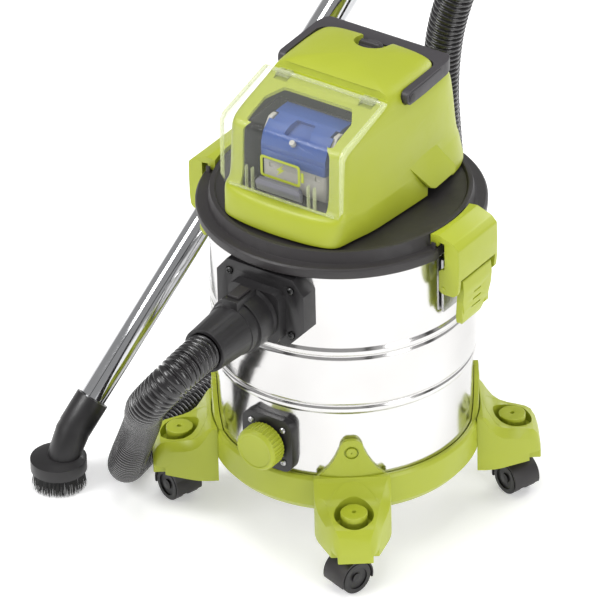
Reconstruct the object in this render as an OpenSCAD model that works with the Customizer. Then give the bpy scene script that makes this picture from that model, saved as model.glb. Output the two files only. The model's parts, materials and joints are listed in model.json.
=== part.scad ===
// Cordless wet/dry shop vacuum: steel drum on a four-leg caster base, motor head, hose, wand and brush.
// +Z is up, -Y is the front (inlet, drain and battery door), the origin is on the floor under the drum axis.

/* [Drum] */
// Radius of the drum's upper wall
drum_r = 146; // [140:1:150]
// Height of the underside of the drum
drum_z0 = 72; // [70:1:74]
// Height of the drum's open edge
drum_z1 = 384; // [380:1:388]
// Sheet thickness of the drum
sheet = 1; // [0.8:0.1:1.4]
// Height of the lower bead
bead_low = 202; // [198:1:206]
// Height of the upper bead
bead_high = 276; // [272:1:280]
// Height of the inlet's axis
inlet_z = 326; // [322:1:330]
// Height of the drain's axis
drain_z = 150; // [146:1:154]

/* [Base] */
// Turn of the leg pattern from the diagonals
base_turn = -8; // [-12:1:4]
// Distance of the accessory posts from the drum axis
post_ring = 186; // [182:1:188]
// Radius of an accessory post
post_r = 15; // [13:0.5:16]
// Height of the top of an accessory post
post_z = 96; // [94:1:100]
// Radius of a caster wheel
wheel_r = 19; // [17:0.5:19]

/* [Lid and head] */
// Outer radius of the lid's flange
lid_r = 160; // [158:1:164]
// Height of the flange's upper face
lid_z = 390; // [388:1:392]
// Underside of the head
head_z0 = 400.4; // [400.4:0.1:402]
// Height of the head's top at the door hinge
head_z1 = 541; // [538:1:544]
// Height and depth of the carrying handle's pivots
bail_y = 14; // [12:1:16]
bail_z = 531; // [529:1:533]

/* [Battery] */
// Half width of the battery
batt_w = 43; // [40:1:44]
// Underside of the battery
batt_z0 = 434; // [433:1:436]

/* [Hose and wand] */
// Radius of the hose
hose_r = 21; // [18:0.5:21]
// Outer radius of the inner wand tube
tube_r = 15; // [14:0.5:15]
// Lower end of the wand, at the mouth of the brush's socket
wand_foot = [-264, -118, 95];
// Upper end of the wand's straight part
wand_top = [-75, 420, 727];

/* [Hidden] */
$fn = 64;

LIME = [0.74, 0.79, 0.24];
CHARCOAL = [0.30, 0.29, 0.30];
BLACK = [0.12, 0.12, 0.12];
STEEL = [0.80, 0.80, 0.81];
GREY = [0.62, 0.62, 0.60];
BLUE = [0.20, 0.33, 0.66];

run = 0.05;            // radial clearance of a running fit
leg_angles = [-45 + base_turn, 45 + base_turn, 135 + base_turn, 225 + base_turn];
drum_low_r = drum_r - 3;
band_r = drum_r + 2.5;
ring_in = drum_low_r + 0.4;
ring_out = 150;
ledge_r = 132;         // inner edge of the ledge that the drum stands on
ring_z0 = 68;
ring_z1 = 114;
leg_z0 = 48;
caster_ring = 184;
stem_r = 4;
axle_r = 2.5;
trail = 9;
motor_y = 40;
shaft_r = 4;
door_y = -22;
door_z = 536;
door_w = 79;
knob_y = 60;
knob_r = 14.6;
hook_pin = [158, 340];
lever_pin = [154, 358];
ears = 16;             // half width between a latch bracket's ears
wand_axis = wand_top - wand_foot;
wand_len = norm(wand_axis);
brush_c = [-280, -165];

// Centreline of the hose, from the inlet cuff to the wand's grip
HOSE = [[0, -262, 326], [0, -290, 325], [-8, -318, 312], [-36, -318, 276], [-72, -278, 232],
  [-108, -232, 184], [-144, -195, 132], [-176, -170, 80], [-202, -142, 42], [-219, -108, 24],
  [-226, -66, 22], [-230, -10, 22], [-230, 60, 22], [-222, 120, 22], [-200, 172, 22],
  [-162, 212, 22], [-112, 236, 22], [-66, 246, 24], [-34, 248, 44], [-16, 246, 88],
  [-8, 238, 150], [-6, 228, 220], [-6, 218, 290], [-6, 209, 360], [-4, 202, 430],
  [6, 198, 500], [22, 200, 560], [38, 214, 620], [50, 242, 682], [54, 284, 742],
  [50, 334, 790], [36, 384, 822], [10, 428, 834], [-16, 446, 826]];

// ---------- helpers ----------

// Puts children on a leg: +X points away from the drum axis
module on_leg(i) { rotate([0, 0, leg_angles[i]]) children(); }

// A cylinder along Y from y0 to y1
module rod_y(r, y0, y1) { translate([0, y1, 0]) rotate([90, 0, 0]) cylinder(r = r, h = y1 - y0); }

// A cylinder along X from x0 to x1
module rod_x(r, x0, x1) { translate([x0, 0, 0]) rotate([0, 90, 0]) cylinder(r = r, h = x1 - x0); }

// A rectangle in X and Z with rounded corners, extruded along Y from y0 to y1
module slab_y(w, h, r, y0, y1) {
  translate([0, y1, 0]) rotate([90, 0, 0]) linear_extrude(y1 - y0) rounded(w, h, r);
}

// A rectangle with rounded corners
module rounded(w, h, r) {
  square([w, h - 2 * r], center = true);
  square([w - 2 * r, h], center = true);
  for (x = [-1, 1], y = [-1, 1]) translate([x * (w / 2 - r), y * (h / 2 - r)]) circle(r);
}

// A profile in X and Z, drawn as [x, z], extruded along Y over a half width
module side_profile(points, half) {
  translate([0, half, 0]) rotate([90, 0, 0]) linear_extrude(2 * half) polygon(points);
}

// Places children along the wand, whose own axis is +Z and whose foot is 0
module on_wand(s = 0) {
  translate(wand_foot)
    rotate([0, acos(wand_axis.z / wand_len), atan2(wand_axis.y, wand_axis.x)])
      translate([0, 0, s]) children();
}

// ---------- base ----------

gusset_top = 152;

module gusset_outline() {
  polygon([[-40, 100], [-40, 116], [-30, 124], [-20, 137], [-13, 150], [13, 150], [20, 137],
    [30, 124], [40, 116], [40, 100]]);
  translate([0, gusset_top]) circle(13);
}

module base_ring() {
  color(LIME) difference() {
    union() {
      rotate_extrude($fn = 96) polygon([[ledge_r, ring_z0], [142, ring_z0], [ring_out, ring_z0 + 10],
        [ring_out, ring_z1 - 4], [ring_out - 2, ring_z1], [ring_in, ring_z1],
        [ring_in, drum_z0 - 0.2], [ledge_r, drum_z0 - 0.2]]);
      intersection() {
        difference() {
          translate([0, 0, 100]) cylinder(r = ring_out - 1.5, h = 70, $fn = 96);
          translate([0, 0, 99]) cylinder(r = ring_in, h = 72, $fn = 96);
        }
        union() for (i = [0:3]) on_leg(i)
          rotate([90, 0, 90]) linear_extrude(ring_out) gusset_outline();
      }
    }
    for (i = [0:3]) on_leg(i) translate([0, 0, gusset_top - 4]) rod_x(8, ring_out - 3.5, 160);
    for (i = [0:3]) on_leg(i) translate([0, 0, 90]) rod_x(2.2, ring_in - 1, 160);
  }
  color(LIME) for (i = [0:3]) on_leg(i) translate([0, 0, gusset_top - 4])
    rod_x(6, ring_out - 3.5, ring_out - 0.5);
}

leg_side = [[ring_out - 4, 70], [ring_out - 4, 118], [162, 112], [166, 92], [207, 88],
  [215, 72], [217, leg_z0 + 8], [216, leg_z0], [172, leg_z0], [ring_out - 4, 66]];
leg_plan = [[ring_out - 6, -43], [ring_out - 6, 43], [170, 41], [216, 22], [222, 10], [222, -10],
  [216, -22], [170, -41]];

module leg(i) {
  color(LIME) on_leg(i) difference() {
    union() {
      difference() {
        intersection() {
          side_profile(leg_side, 50);
          translate([0, 0, 40]) linear_extrude(90) polygon(leg_plan);
        }
        intersection() {
          side_profile([[150, 40], [150, 104], [158, 100], [163, 84], [206, 80], [211, 70],
            [212, 40]], 50);
          translate([0, 0, 40]) linear_extrude(90) polygon([[148, -39.5], [148, 39.5], [169, 37.5],
            [212, 20], [218, 8], [218, -8], [212, -20], [169, -37.5]]);
        }
      }
      translate([post_ring, 0, 72]) cylinder(r = 24, h = 16);
      translate([caster_ring, 0, leg_z0]) cylinder(r = 9, h = 26);
      translate([caster_ring - 14, -1.5, leg_z0 + 2]) cube([28, 3, 24]);
      translate([146, -8, 82]) cube([5.5, 16, 18]);
    }
    translate([post_ring, 0, 76]) difference() {
      cylinder(r = 21.5, h = 30);
      translate([0, 0, -1]) cylinder(r = post_r, h = 32);
    }
    translate([caster_ring, 0, leg_z0 - 1]) cylinder(r = stem_r + run, h = 22);
    translate([post_ring, 0, 80]) cylinder(r = 2.5, h = 30);
    translate([0, 0, 90]) rod_x(2.2, 140, 158);
    translate([0, 0, 40]) cylinder(r = ring_out + 0.1, h = 90, $fn = 96);
  }
  color(LIME) on_leg(i) difference() {
    translate([post_ring, 0, 76]) cylinder(r = post_r, h = post_z - 76);
    translate([post_ring, 0, 80]) cylinder(r = 2.5, h = 30);
  }
}

module leg_front_right() { leg(0); }
module leg_back_right() { leg(1); }
module leg_back_left() { leg(2); }
module leg_front_left() { leg(3); }

// The caster stands with its wheels' axle behind its stem
module on_caster(i) { on_leg(i) translate([caster_ring, 0, 0]) rotate([0, 0, -55]) children(); }

module caster(i) {
  hood_r = wheel_r + 3;
  color(CHARCOAL) on_caster(i) difference() {
    union() {
      intersection() {
        translate([trail, 0, wheel_r]) rod_y(hood_r, -17, 17);
        translate([-20, -20, 13]) cube([60, 40, 40]);
      }
      translate([-10, -17, 30]) cube([24, 34, 14]);
      translate([0, 0, 40]) cylinder(r = stem_r, h = 26);
      translate([0, 0, 40]) cylinder(r = 8, h = 7);
    }
    for (s = [-1, 1]) translate([trail, s * 10, wheel_r]) rod_y(wheel_r + 1, -7.2, 7.2);
    translate([trail, 0, wheel_r]) rod_y(axle_r + run, -20, 20);
  }
}

module caster_wheels(i) {
  color(BLACK) on_caster(i) translate([trail, 0, wheel_r]) {
    rod_y(axle_r, -16.5, 16.5);
    for (s = [-1, 1]) difference() {
      translate([0, s * 10.4, 0]) union() {
        rod_y(wheel_r, -5, 5);
        rod_y(wheel_r - 1.2, -6, 6);
      }
      translate([0, s * 16.4, 0]) rod_y(wheel_r - 6, -2, 2);
    }
    for (s = [-1, 1]) translate([0, s * 15.4, 0]) rod_y(6, -1, 1);
  }
}

module caster_front_right() { caster(0); }
module caster_back_right() { caster(1); }
module caster_back_left() { caster(2); }
module caster_front_left() { caster(3); }
module wheels_front_right() { caster_wheels(0); }
module wheels_back_right() { caster_wheels(1); }
module wheels_back_left() { caster_wheels(2); }
module wheels_front_left() { caster_wheels(3); }

// ---------- drum and its ports ----------

// Outer line of the drum from its floor to its rim, as [radius, height]
drum_line = [[drum_low_r - 4, drum_z0], [drum_low_r, drum_z0 + 4], [drum_low_r, bead_low - 6],
  [drum_low_r + 4.5, bead_low - 2], [drum_low_r + 4.5, bead_low + 2], [drum_low_r + 2.5, bead_low + 5],
  [band_r - 1, bead_low + 10], [band_r, (bead_low + bead_high) / 2], [band_r - 1, bead_high - 10],
  [drum_r - 0.5, bead_high - 5], [drum_r + 2, bead_high - 2], [drum_r + 2, bead_high + 2],
  [drum_r, bead_high + 6], [drum_r, drum_z1]];
reverse_line = [for (i = [len(drum_line) - 1:-1:1]) [drum_line[i].x - sheet, drum_line[i].y]];

module drum() {
  color(STEEL) difference() {
    rotate_extrude($fn = 128) polygon(concat([[0, drum_z0]], drum_line, reverse_line,
      [[drum_line[0].x - sheet, drum_z0 + sheet], [0, drum_z0 + sheet]]));
    translate([0, 0, inlet_z]) rod_y(26, -160, -100);
    translate([0, 0, drain_z]) rod_y(18, -160, -100);
    for (x = [-40, 40], z = [-28, 28]) translate([x, 0, inlet_z + z + 6]) rod_y(2.2, -160, -100);
    for (x = [-21, 21], z = [-21, 21]) translate([x, 0, drain_z + z]) rod_y(2.2, -160, -100);
  }
}

inlet_outline = [[-43, 374], [43, 374], [57, 357], [57, 312], [36, 289], [-36, 289], [-57, 312], [-57, 357]];
inlet_face = -157;
neck_y = -178;

module inlet_flange() {
  color(BLACK) difference() {
    union() {
      side_profile_y(inlet_outline, inlet_face, -120);
      translate([0, 0, inlet_z]) slab_y(66, 62, 10, -170, inlet_face);
      translate([0, 0, inlet_z]) rod_y(31, neck_y, -150);
    }
    translate([0, 0, 200]) cylinder(r = drum_r + 0.05, h = 250, $fn = 128);
    translate([0, 0, inlet_z]) rod_y(25.2, -200, -100);
    for (x = [-40, 40], z = [-28, 28]) translate([x, 0, inlet_z + z + 6]) {
      rod_y(2.2, -200, -100);
      rod_y(5, -200, inlet_face + 2);
    }
  }
  color(BLACK) translate([0, 0, inlet_z]) difference() {
    rod_y(25.1, -158, -128);
    rod_y(22.6, -160, -120);
  }
}

// A profile in X and Z extruded along Y from y0 to y1
module side_profile_y(points, y0, y1) {
  translate([0, y1, 0]) rotate([90, 0, 0]) linear_extrude(y1 - y0) polygon(points);
}

drain_face = -151;

module drain_flange() {
  color(BLACK) difference() {
    union() {
      translate([0, 0, drain_z]) slab_y(66, 66, 14, drain_face, -120);
      translate([0, 0, drain_z]) rod_y(17, -168, -135);
    }
    translate([0, 0, 90]) cylinder(r = drum_low_r + 0.05, h = 110, $fn = 128);
    translate([0, 0, drain_z]) rod_y(13, -200, -100);
    for (x = [-21, 21], z = [-21, 21]) translate([x, 0, drain_z + z]) rod_y(2.2, -200, -100);
  }
}

module drain_cap() {
  color(LIME) translate([0, 0, drain_z]) difference() {
    union() {
      rod_y(26, -174, -154);
      rod_y(24, -176, -173);
      for (a = [0:18:359]) rotate([0, a, 0]) translate([26, 0, 0]) rod_y(2.2, -173, -155);
    }
    rod_y(17 + 0.4, -170.5, -150);
    rod_y(9, -180, -174.5);
  }
}

module drain_seal() {
  color(BLACK) translate([0, 0, drain_z]) difference() {
    rod_y(17, -170, -168);
    rod_y(13, -175, -160);
  }
}

// Pan-head screw along Y with its head's face at y
module screw_y(y, depth) {
  rod_y(4, y, y + 2.4);
  rod_y(2.1, y + 2.2, y + depth);
}

module screws() {
  color(STEEL) {
    for (x = [-21, 21], z = [-21, 21]) translate([x, 0, drain_z + z]) screw_y(drain_face - 2.4, 16);
    for (x = [-40, 40], z = [-28, 28]) translate([x, 0, inlet_z + z + 6]) screw_y(inlet_face - 0.4, 24);
    for (i = [0:3]) on_leg(i) translate([0, 0, 90]) {
      rod_x(2.1, 139.5, 156);
      rod_x(4, 151.8, 154.2);
    }
  }
}

// ---------- latches ----------

// Mirrors the right-hand latch for the left-hand side
module on_side(s) { mirror([s < 0 ? 1 : 0, 0, 0]) children(); }

module latch_bracket(s) {
  color(STEEL) on_side(s) difference() {
    union() {
      translate([drum_r + 0.2, -ears - 8, 300]) cube([3, 2 * ears + 16, 66]);
      for (y = [-ears, ears - 3]) translate([drum_r + 1, y, 344]) cube([10, 3, 22]);
      for (y = [-ears, ears - 3]) translate([lever_pin.x, y, lever_pin.y]) rod_y(5, 0, 3);
    }
    translate([0, 0, 200]) cylinder(r = drum_r + 0.1, h = 250, $fn = 128);
    translate([lever_pin.x, 0, lever_pin.y]) rod_y(2, -40, 40);
  }
}

module latch_pins() {
  color(STEEL) for (s = [-1, 1]) on_side(s)
    translate([lever_pin.x, 0, lever_pin.y]) rod_y(2, -27, 27);
}

lever_side = [[150.2, 359.4], [152.3, 361.8], [156, 362], [163, 352], [176, 344], [177, 330], [173, 300],
  [165, 284], [161, 284], [166, 302], [168, 328], [161, 333], [150.2, 352]];
lever_pad = [[175.2, 350], [177, 330], [173, 300], [165, 284], [161, 284], [166, 302], [169, 330], [170, 350]];
hook_side = [[147, 391.6], [147, 404], [153, 406], [172, 399], [177, 394], [178, 353.5], [174.5, 353.5],
  [174.5, 392], [170, 394.5], [152, 398], [151.6, 391.6]];
hook_cheek = [[153, 398], [172, 399], [177, 392], [177.5, 346], [162, 334], [153.5, 334], [151.9, 341],
  [152.4, 370]];
hook_half = 38;

module latch_lever(s) {
  color(LIME) on_side(s) difference() {
    union() {
      for (y = [-26, 20]) translate([0, y + 3, 0]) side_profile(lever_side, 3);
      side_profile(lever_pad, 26);
      translate([hook_pin.x, 0, hook_pin.y]) rod_y(2.5, -33, -20);
      translate([hook_pin.x, 0, hook_pin.y]) rod_y(2.5, 20, 33);
    }
    translate([lever_pin.x, 0, lever_pin.y]) rod_y(2 + run, -40, 40);
    for (z = [305, 314, 323]) translate([178.5 - (330 - z) * 0.12, 0, z]) rotate([90, 0, 0])
      translate([0, 0, -14]) cylinder(r = 2.4, h = 28);
  }
}

module latch_hook(s) {
  color(LIME) on_side(s) difference() {
    union() {
      side_profile(hook_side, hook_half);
      for (y = [-hook_half, hook_half - 6]) translate([0, y + 3, 0]) side_profile(hook_cheek, 3);
      for (y = [-hook_half, hook_half - 6]) translate([hook_pin.x, y, hook_pin.y]) rod_y(6, 0, 6);
    }
    translate([hook_pin.x, 0, hook_pin.y]) rod_y(2.5 + run, -36, 36);
  }
}

module latch_bracket_right() { latch_bracket(1); }
module latch_bracket_left() { latch_bracket(-1); }
module latch_lever_right() { latch_lever(1); }
module latch_lever_left() { latch_lever(-1); }
module latch_hook_right() { latch_hook(1); }
module latch_hook_left() { latch_hook(-1); }

// ---------- lid, seal and filter ----------

module lid() {
  color(CHARCOAL) difference() {
    union() {
      rotate_extrude($fn = 128) polygon([[0, 396], [134, 396], [136, 396], [136, 386.3],
        [drum_r + 1.5, 386.3], [drum_r + 1.5, 378], [lid_r - 1, 378], [lid_r, 380], [lid_r, lid_z - 2],
        [lid_r - 2, lid_z], [147, lid_z], [144, 403], [139, 403], [137, 400], [0, 400]]);
      rotate_extrude($fn = 128) polygon([[136, 372], [140, 372], [142, 386.5], [136, 396.2]]);
      for (s = [-1, 1], y = [-43, 41]) translate([s * 148.5 - 2.5, y, 384]) cube([5, 2, 14]);
    }
    for (s = [-1, 1]) translate([s > 0 ? 151.4 : -171.4, -41, 370]) cube([20, 82, 60]);
    for (s = [-1, 1]) translate([s > 0 ? 145.8 : -165.8, -40, lid_z]) cube([20, 80, 60]);
    translate([0, motor_y, 390]) cylinder(r = 24, h = 20);
  }
  color(CHARCOAL) difference() {
    translate([0, motor_y - 10, 388]) cylinder(r = 64, h = 8.1);
    translate([0, motor_y - 10, 387]) cylinder(r = 60, h = 9);
    translate([0, motor_y, 380]) cylinder(r = 24, h = 30);
  }
}

module rim_seal() {
  color(BLACK) rotate_extrude($fn = 128) translate([drum_r - 0.5, 385.1]) square([2.6, 2.2], center = true);
}

cage_r = 56;

module filter_cage() {
  color(BLACK) translate([0, motor_y - 10, 0]) {
    difference() {
      translate([0, 0, 380]) cylinder(r = cage_r + 2, h = 7.8);
      translate([0, 0, 379]) cylinder(r = cage_r - 3, h = 20);
    }
    difference() {
      translate([0, 0, 300]) cylinder(r = cage_r, h = 5);
      translate([0, 0, 299]) cylinder(r = 20, h = 8);
    }
    for (a = [0:30:359]) rotate([0, 0, a]) translate([cage_r - 3, -2, 304]) cube([3, 4, 77]);
  }
}

module float_ball() {
  color(GREY) translate([0, motor_y, 324]) sphere(r = 18);
}

module filter_sleeve() {
  color("white") translate([0, motor_y - 10, 0]) difference() {
    translate([0, 0, 296]) cylinder(r = cage_r + 3.3, h = 90);
    translate([0, 0, 299]) cylinder(r = cage_r + 0.4, h = 100);
    translate([0, 0, 379]) cylinder(r = cage_r + 2.4, h = 100);
  }
}

// ---------- head ----------

// Half outlines of the head, drawn as [x, y] from front to back, at rising heights
head_low = [[40, -132], [76, -121], [85, -65], [94, -22], [96, 40], [90, 92], [72, 134], [30, 150]];
head_mid = [[40, -118], [79, -112], [85, -60], [90, -22], [92, 40], [86, 92], [66, 128], [30, 140]];
head_fold = [[76, -104], [80, -60], [82, -22], [83, 40], [80, 100], [62, 118]];
head_ledge = [[70, -26], [76, -22], [78, 40], [76, 104], [40, 112]];
head_top = [[70, -26], [75, -22], [75, 60], [70, 74], [30, 74]];

function mirrored(half) = concat(half, [for (i = [len(half) - 1:-1:0]) [-half[i].x, half[i].y]]);
function shrunk(half, t) = [for (p = half) [p.x - t, p.y - t * sign(p.y)]];

module plate(half, z, h = 0.6) { translate([0, 0, z]) linear_extrude(h) polygon(mirrored(half)); }

module head_lower(t) {
  hull() {
    plate(shrunk(head_low, t), head_z0 - (t > 0 ? 1 : 0));
    plate(shrunk(head_mid, t), 432);
    plate(shrunk(head_fold, t), 511 - t);
    plate(shrunk(head_ledge, t), 524 - t);
  }
}

module head_crown(t) {
  hull() {
    plate(shrunk(head_fold, t + 3), 505);
    plate(shrunk(head_top, t), head_z1 - t - 0.6);
    translate([0, 42, head_z1 + 13 - t]) cube([60 - 2 * t, 44 - 2 * t, 0.6], center = true);
  }
}

// The door's inner line with its play, and the groove that its rear edge swings through
door_seat = [[-130, 435.3], [-112.9, 435.3], [-107.9, 511.3], [-103.6, 513.2], [-85.6, 518.2],
  [-31, 537.1], [-31, 560], [-130, 560]];
rail_z = 530;

module door_space() {
  translate([-door_w - 0.7, 0, 0]) rotate([90, 0, 90]) linear_extrude(2 * door_w + 1.4) polygon(door_seat);
  translate([-door_w - 0.7, -40, 537.4]) cube([2 * door_w + 1.4, 26.6, 30]);
  for (s = [-1, 1]) translate([s * 55 - 9, -34, 531.2]) cube([18, 16.8, 30]);
}

// The space that the stowed handle's bar lies in, behind the crown
module bar_space() {
  translate([-90, 74.5, 525]) cube([180, 60, 60]);
}

module wing(s) {
  mirror([s < 0 ? 1 : 0, 0, 0]) hull() {
    translate([80, 6, 444]) cube([1, 52, 6]);
    translate([99, 30, 413]) cube([2, 46, 5]);
    translate([80, 30, 413]) cube([2, 40, 5]);
  }
}

module head_shell() {
  color(LIME) difference() {
    union() {
      head_lower(0);
      difference() {
        head_crown(0);
        bar_space();
      }
      for (s = [-1, 1]) wing(s);
    }
    difference() {
      union() {
        head_lower(3);
        difference() {
          head_crown(3);
          translate([-90, 71.5, 522]) cube([180, 60, 60]);
        }
      }
      translate([-72, -31, rail_z]) cube([144, 21, 12]);
    }
    translate([-60, -150, 435.3]) cube([120, 54, 92]);
    translate([-60, -100.5, 430]) cube([120, 69, 92]);
    door_space();
    for (s = [-1, 1]) translate([s * 99 - 13, 26, 404]) cube([26, 40, 22]);
    translate([0, knob_y, 530]) cylinder(r = 9, h = 60);
    translate([0, knob_y, 541]) cylinder(r = knob_r + 1, h = 60);
    for (s = [-1, 1]) translate([s * 75, bail_y, bail_z]) rod_x(2.5, -12, 12);
    for (s = [-1, 1]) translate([s * 80.5 - 4.5, bail_y - 12, bail_z - 11]) cube([9, 110, 50]);
  }
  color(LIME) for (s = [-1, 1]) difference() {
    translate([s * 66, bail_y, bail_z]) rod_x(7, -4, 4);
    translate([s * 66, bail_y, bail_z]) rod_x(2.5, -12, 12);
  }
}

module carry_handle() {
  color(CHARCOAL) difference() {
    union() {
      for (s = [-1, 1]) {
        translate([s * 80.5, bail_y, bail_z]) rod_x(8, -3.5, 3.5);
        translate([s * 80.5 - 3.5, bail_y, bail_z - 7]) cube([7, 66, 14.5]);
        translate([s * 80.5 - 3.5, bail_y + 64, bail_z - 4.5]) cube([7, 22, 16.5]);
      }
      translate([-84, bail_y + 64, bail_z - 4.5]) cube([168, 22, 15]);
    }
    for (s = [-1, 1]) translate([s * 80.5, bail_y, bail_z]) rod_x(3.5 + run, -10, 10);
  }
}

module handle_pivots() {
  color(CHARCOAL) for (s = [-1, 1]) {
    translate([s * 80.5, bail_y, bail_z]) rod_x(3.5, -4.2, 4.2);
    translate([s * 72, bail_y, bail_z]) rod_x(2.4, -8, 8);
    translate([s * 85.4, bail_y, bail_z]) rod_x(5.5, -0.9, 0.9);
  }
}

module switch_knob() {
  color(GREY) translate([0, knob_y, 0]) {
    translate([0, 0, 541.4]) cylinder(r = knob_r, h = 5.6);
    translate([-knob_r, -3, 546]) cube([2 * knob_r, 6, 6]);
    translate([0, 0, 532]) cylinder(r = 6, h = 10);
  }
}

// ---------- battery, its bay and its door ----------

module battery_bay() {
  color(CHARCOAL) difference() {
    translate([-59.5, -100, 430.3]) cube([119, 71.5, 78]);
    translate([-56.5, -110, 433.3]) cube([113, 78.5, 90]);
  }
  color(CHARCOAL) translate([-58, -110.5, 430.3]) cube([116, 10.6, 3]);
}

module battery_case() {
  color([0.66, 0.66, 0.62]) difference() {
    translate([-batt_w, -88, batt_z0]) cube([2 * batt_w, 52, 36]);
    translate([-12, -90, batt_z0 + 4]) cube([24, 2.8, 22]);
  }
}

module battery_shell() {
  color(BLUE) difference() {
    translate([-batt_w, 0, 0]) rotate([90, 0, 90]) linear_extrude(2 * batt_w)
      polygon([[-90, batt_z0 + 36.2], [-90, 492], [-84, 502], [-72, 509], [-56, 512], [-36, 512],
        [-36, batt_z0 + 36.2]]);
    translate([-16, -78, 505]) rotate([14, 0, 0]) cube([32, 22, 12]);
    for (s = [-1, 1]) translate([s * (batt_w + 2) - 8.6, -80, 486]) cube([17.2, 30, 40]);
    translate([0, -86, 492]) rotate([35, 0, 0]) cylinder(r = 3.4, h = 14);
  }
}

module battery_release(s) {
  color([0.85, 0.85, 0.82]) mirror([s < 0 ? 1 : 0, 0, 0])
    translate([batt_w - 3.6, 0, 0]) rotate([90, 0, 90]) linear_extrude(7)
      polygon([[-79, 487], [-78, 498], [-70, 508], [-60, 508], [-51, 487]]);
}

module battery_release_right() { battery_release(1); }
module battery_release_left() { battery_release(-1); }

module gauge_button() {
  color("white") translate([0, -86, 492]) rotate([35, 0, 0]) translate([0, 0, 4])
    cylinder(r = 3.1, h = 6);
}

door_path = [[-26, 541.5], [-30, 541.5], [-108, 521.5], [-113, 516], [-117.5, 436], [-115, 436],
  [-110.6, 514], [-106.5, 518.8], [-30, 538.5], [-26, 538.5]];

module battery_door() {
  color([0.92, 0.94, 0.90, 0.4]) {
    difference() {
      union() {
        translate([-door_w, 0, 0]) rotate([90, 0, 90]) linear_extrude(2 * door_w) polygon(door_path);
        for (x = [-door_w, door_w - 2.5]) translate([x, 0, 0]) rotate([90, 0, 90])
          linear_extrude(2.5) polygon([[-30, 541], [-108, 521], [-113, 516], [-117.5, 436],
            [-113.6, 436], [-108.6, 512], [-104, 514], [-86, 519], [-30, 538]]);
        for (s = [-1, 1]) translate([s * 55, 0, 0]) {
          translate([0, door_y, door_z]) rod_x(4.2, -6, 6);
          translate([-6, door_y - 10, door_z - 1]) cube([12, 8, 5]);
        }
      }
      for (s = [-1, 1]) translate([s * 55, door_y, door_z]) rod_x(1.5 + run, -20, 20);
    }
    for (s = [-1, 1], x = [-4, 4]) translate([s * 36 + x - 0.8, -118.6, 440]) cube([1.6, 3, 32]);
  }
}

module door_hinge_pin() {
  color(STEEL) for (s = [-1, 1]) translate([s * 55, door_y, door_z]) rod_x(1.5, -13, 13);
}

module door_catch() {
  color(GREY) union() {
    translate([-30, -121.5, 447]) cube([60, 5, 14]);
    translate([-30, -125, 457]) cube([60, 5, 4]);
    translate([-26, -118, 449]) cube([52, 3, 10]);
  }
}

// ---------- motor and electrics ----------

module motor_can() {
  color(STEEL) translate([0, motor_y, 0]) difference() {
    translate([0, 0, 428.5]) cylinder(r = 40, h = 76);
    translate([0, 0, 431]) cylinder(r = 37, h = 71);
    translate([0, 0, 420]) cylinder(r = 8, h = 100);
  }
}

module motor_bearings() {
  color(STEEL) translate([0, motor_y, 0]) for (z = [428.5, 501.6]) difference() {
    translate([0, 0, z]) cylinder(r = 8, h = 2.9);
    translate([0, 0, z - 1]) cylinder(r = shaft_r + run, h = 5);
  }
}

module rotor() {
  color(STEEL) translate([0, motor_y, 0]) {
    translate([0, 0, 404]) cylinder(r = shaft_r, h = 104);
    translate([0, 0, 440]) cylinder(r = 24, h = 44);
    translate([0, 0, 488]) cylinder(r = 12, h = 10);
  }
}

module impeller() {
  color(GREY) translate([0, motor_y, 0]) difference() {
    union() {
      translate([0, 0, 406]) cylinder(r = 50, h = 1.2);
      translate([0, 0, 417]) cylinder(r = 50, h = 1.2);
      translate([0, 0, 406]) cylinder(r = 9, h = 12);
      for (a = [0:40:359]) rotate([0, 0, a]) translate([24, -0.7, 406]) cube([25, 1.4, 11.5]);
    }
    translate([0, 0, 400]) cylinder(r = shaft_r, h = 30);
    translate([0, 0, 400]) difference() {
      cylinder(r = 20, h = 10);
      cylinder(r = 9, h = 10);
    }
  }
}

module fan_housing() {
  color(CHARCOAL) translate([0, motor_y, 0]) difference() {
    translate([0, 0, head_z0 + 0.2]) cylinder(r = 58, h = 27.8);
    translate([0, 0, 403]) cylinder(r = 54, h = 21);
    translate([0, 0, 390]) cylinder(r = 22, h = 20);
    translate([0, 0, 420]) cylinder(r = 9, h = 20);
    for (s = [-1, 1]) translate([s > 0 ? 30 : -80, -12, 406]) cube([50, 24, 14]);
  }
}

module circuit_board() {
  color([0.10, 0.35, 0.18]) {
    translate([-45, -24, 436]) cube([90, 1.6, 66]);
    for (x = [-30, 0, 28]) translate([x, -22.6, 450]) cube([12, 8, 16]);
    translate([-38, -22.6, 480]) cube([30, 6, 10]);
  }
}

// ---------- hose, wand and brush ----------

module hose_cuff() {
  color(BLACK) translate([0, 0, inlet_z]) difference() {
    union() {
      rod_y(25, neck_y - 22, -159.5);
      rod_y(33, neck_y - 24, neck_y - 0.5);
      rod_y(30, -214, neck_y - 20);
      translate([0, -212, 0]) rotate([90, 0, 0]) cylinder(r1 = 29, r2 = 25.5, h = 50);
      translate([-10, -214, 20]) cube([20, 36, 18]);
    }
    rod_y(20, -300, -100);
    rod_y(hose_r + 0.2, -300, -240);
    translate([-7.4, -208, 30]) cube([14.8, 24, 20]);
  }
}

module cuff_lock_button() {
  color(CHARCOAL) translate([-7, -207.5, inlet_z + 32.5]) cube([14, 23, 8.5]);
}

sides = 12;

function unit(v) = v / norm(v);
// A direction square to the path, turned as little as it can be from one point to the next
function carried(u, d) = unit(u - d * (u * d));
function heading(p, i) = unit(p[min(i + 1, len(p) - 1)] - p[max(i - 1, 0)]);
function frames(p, i = 0, u = [1, 0, 0]) = i == len(p) ? [] :
  let (d = heading(p, i), v = carried(u, d)) concat([[v, cross(d, v)]], frames(p, i + 1, v));

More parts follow.
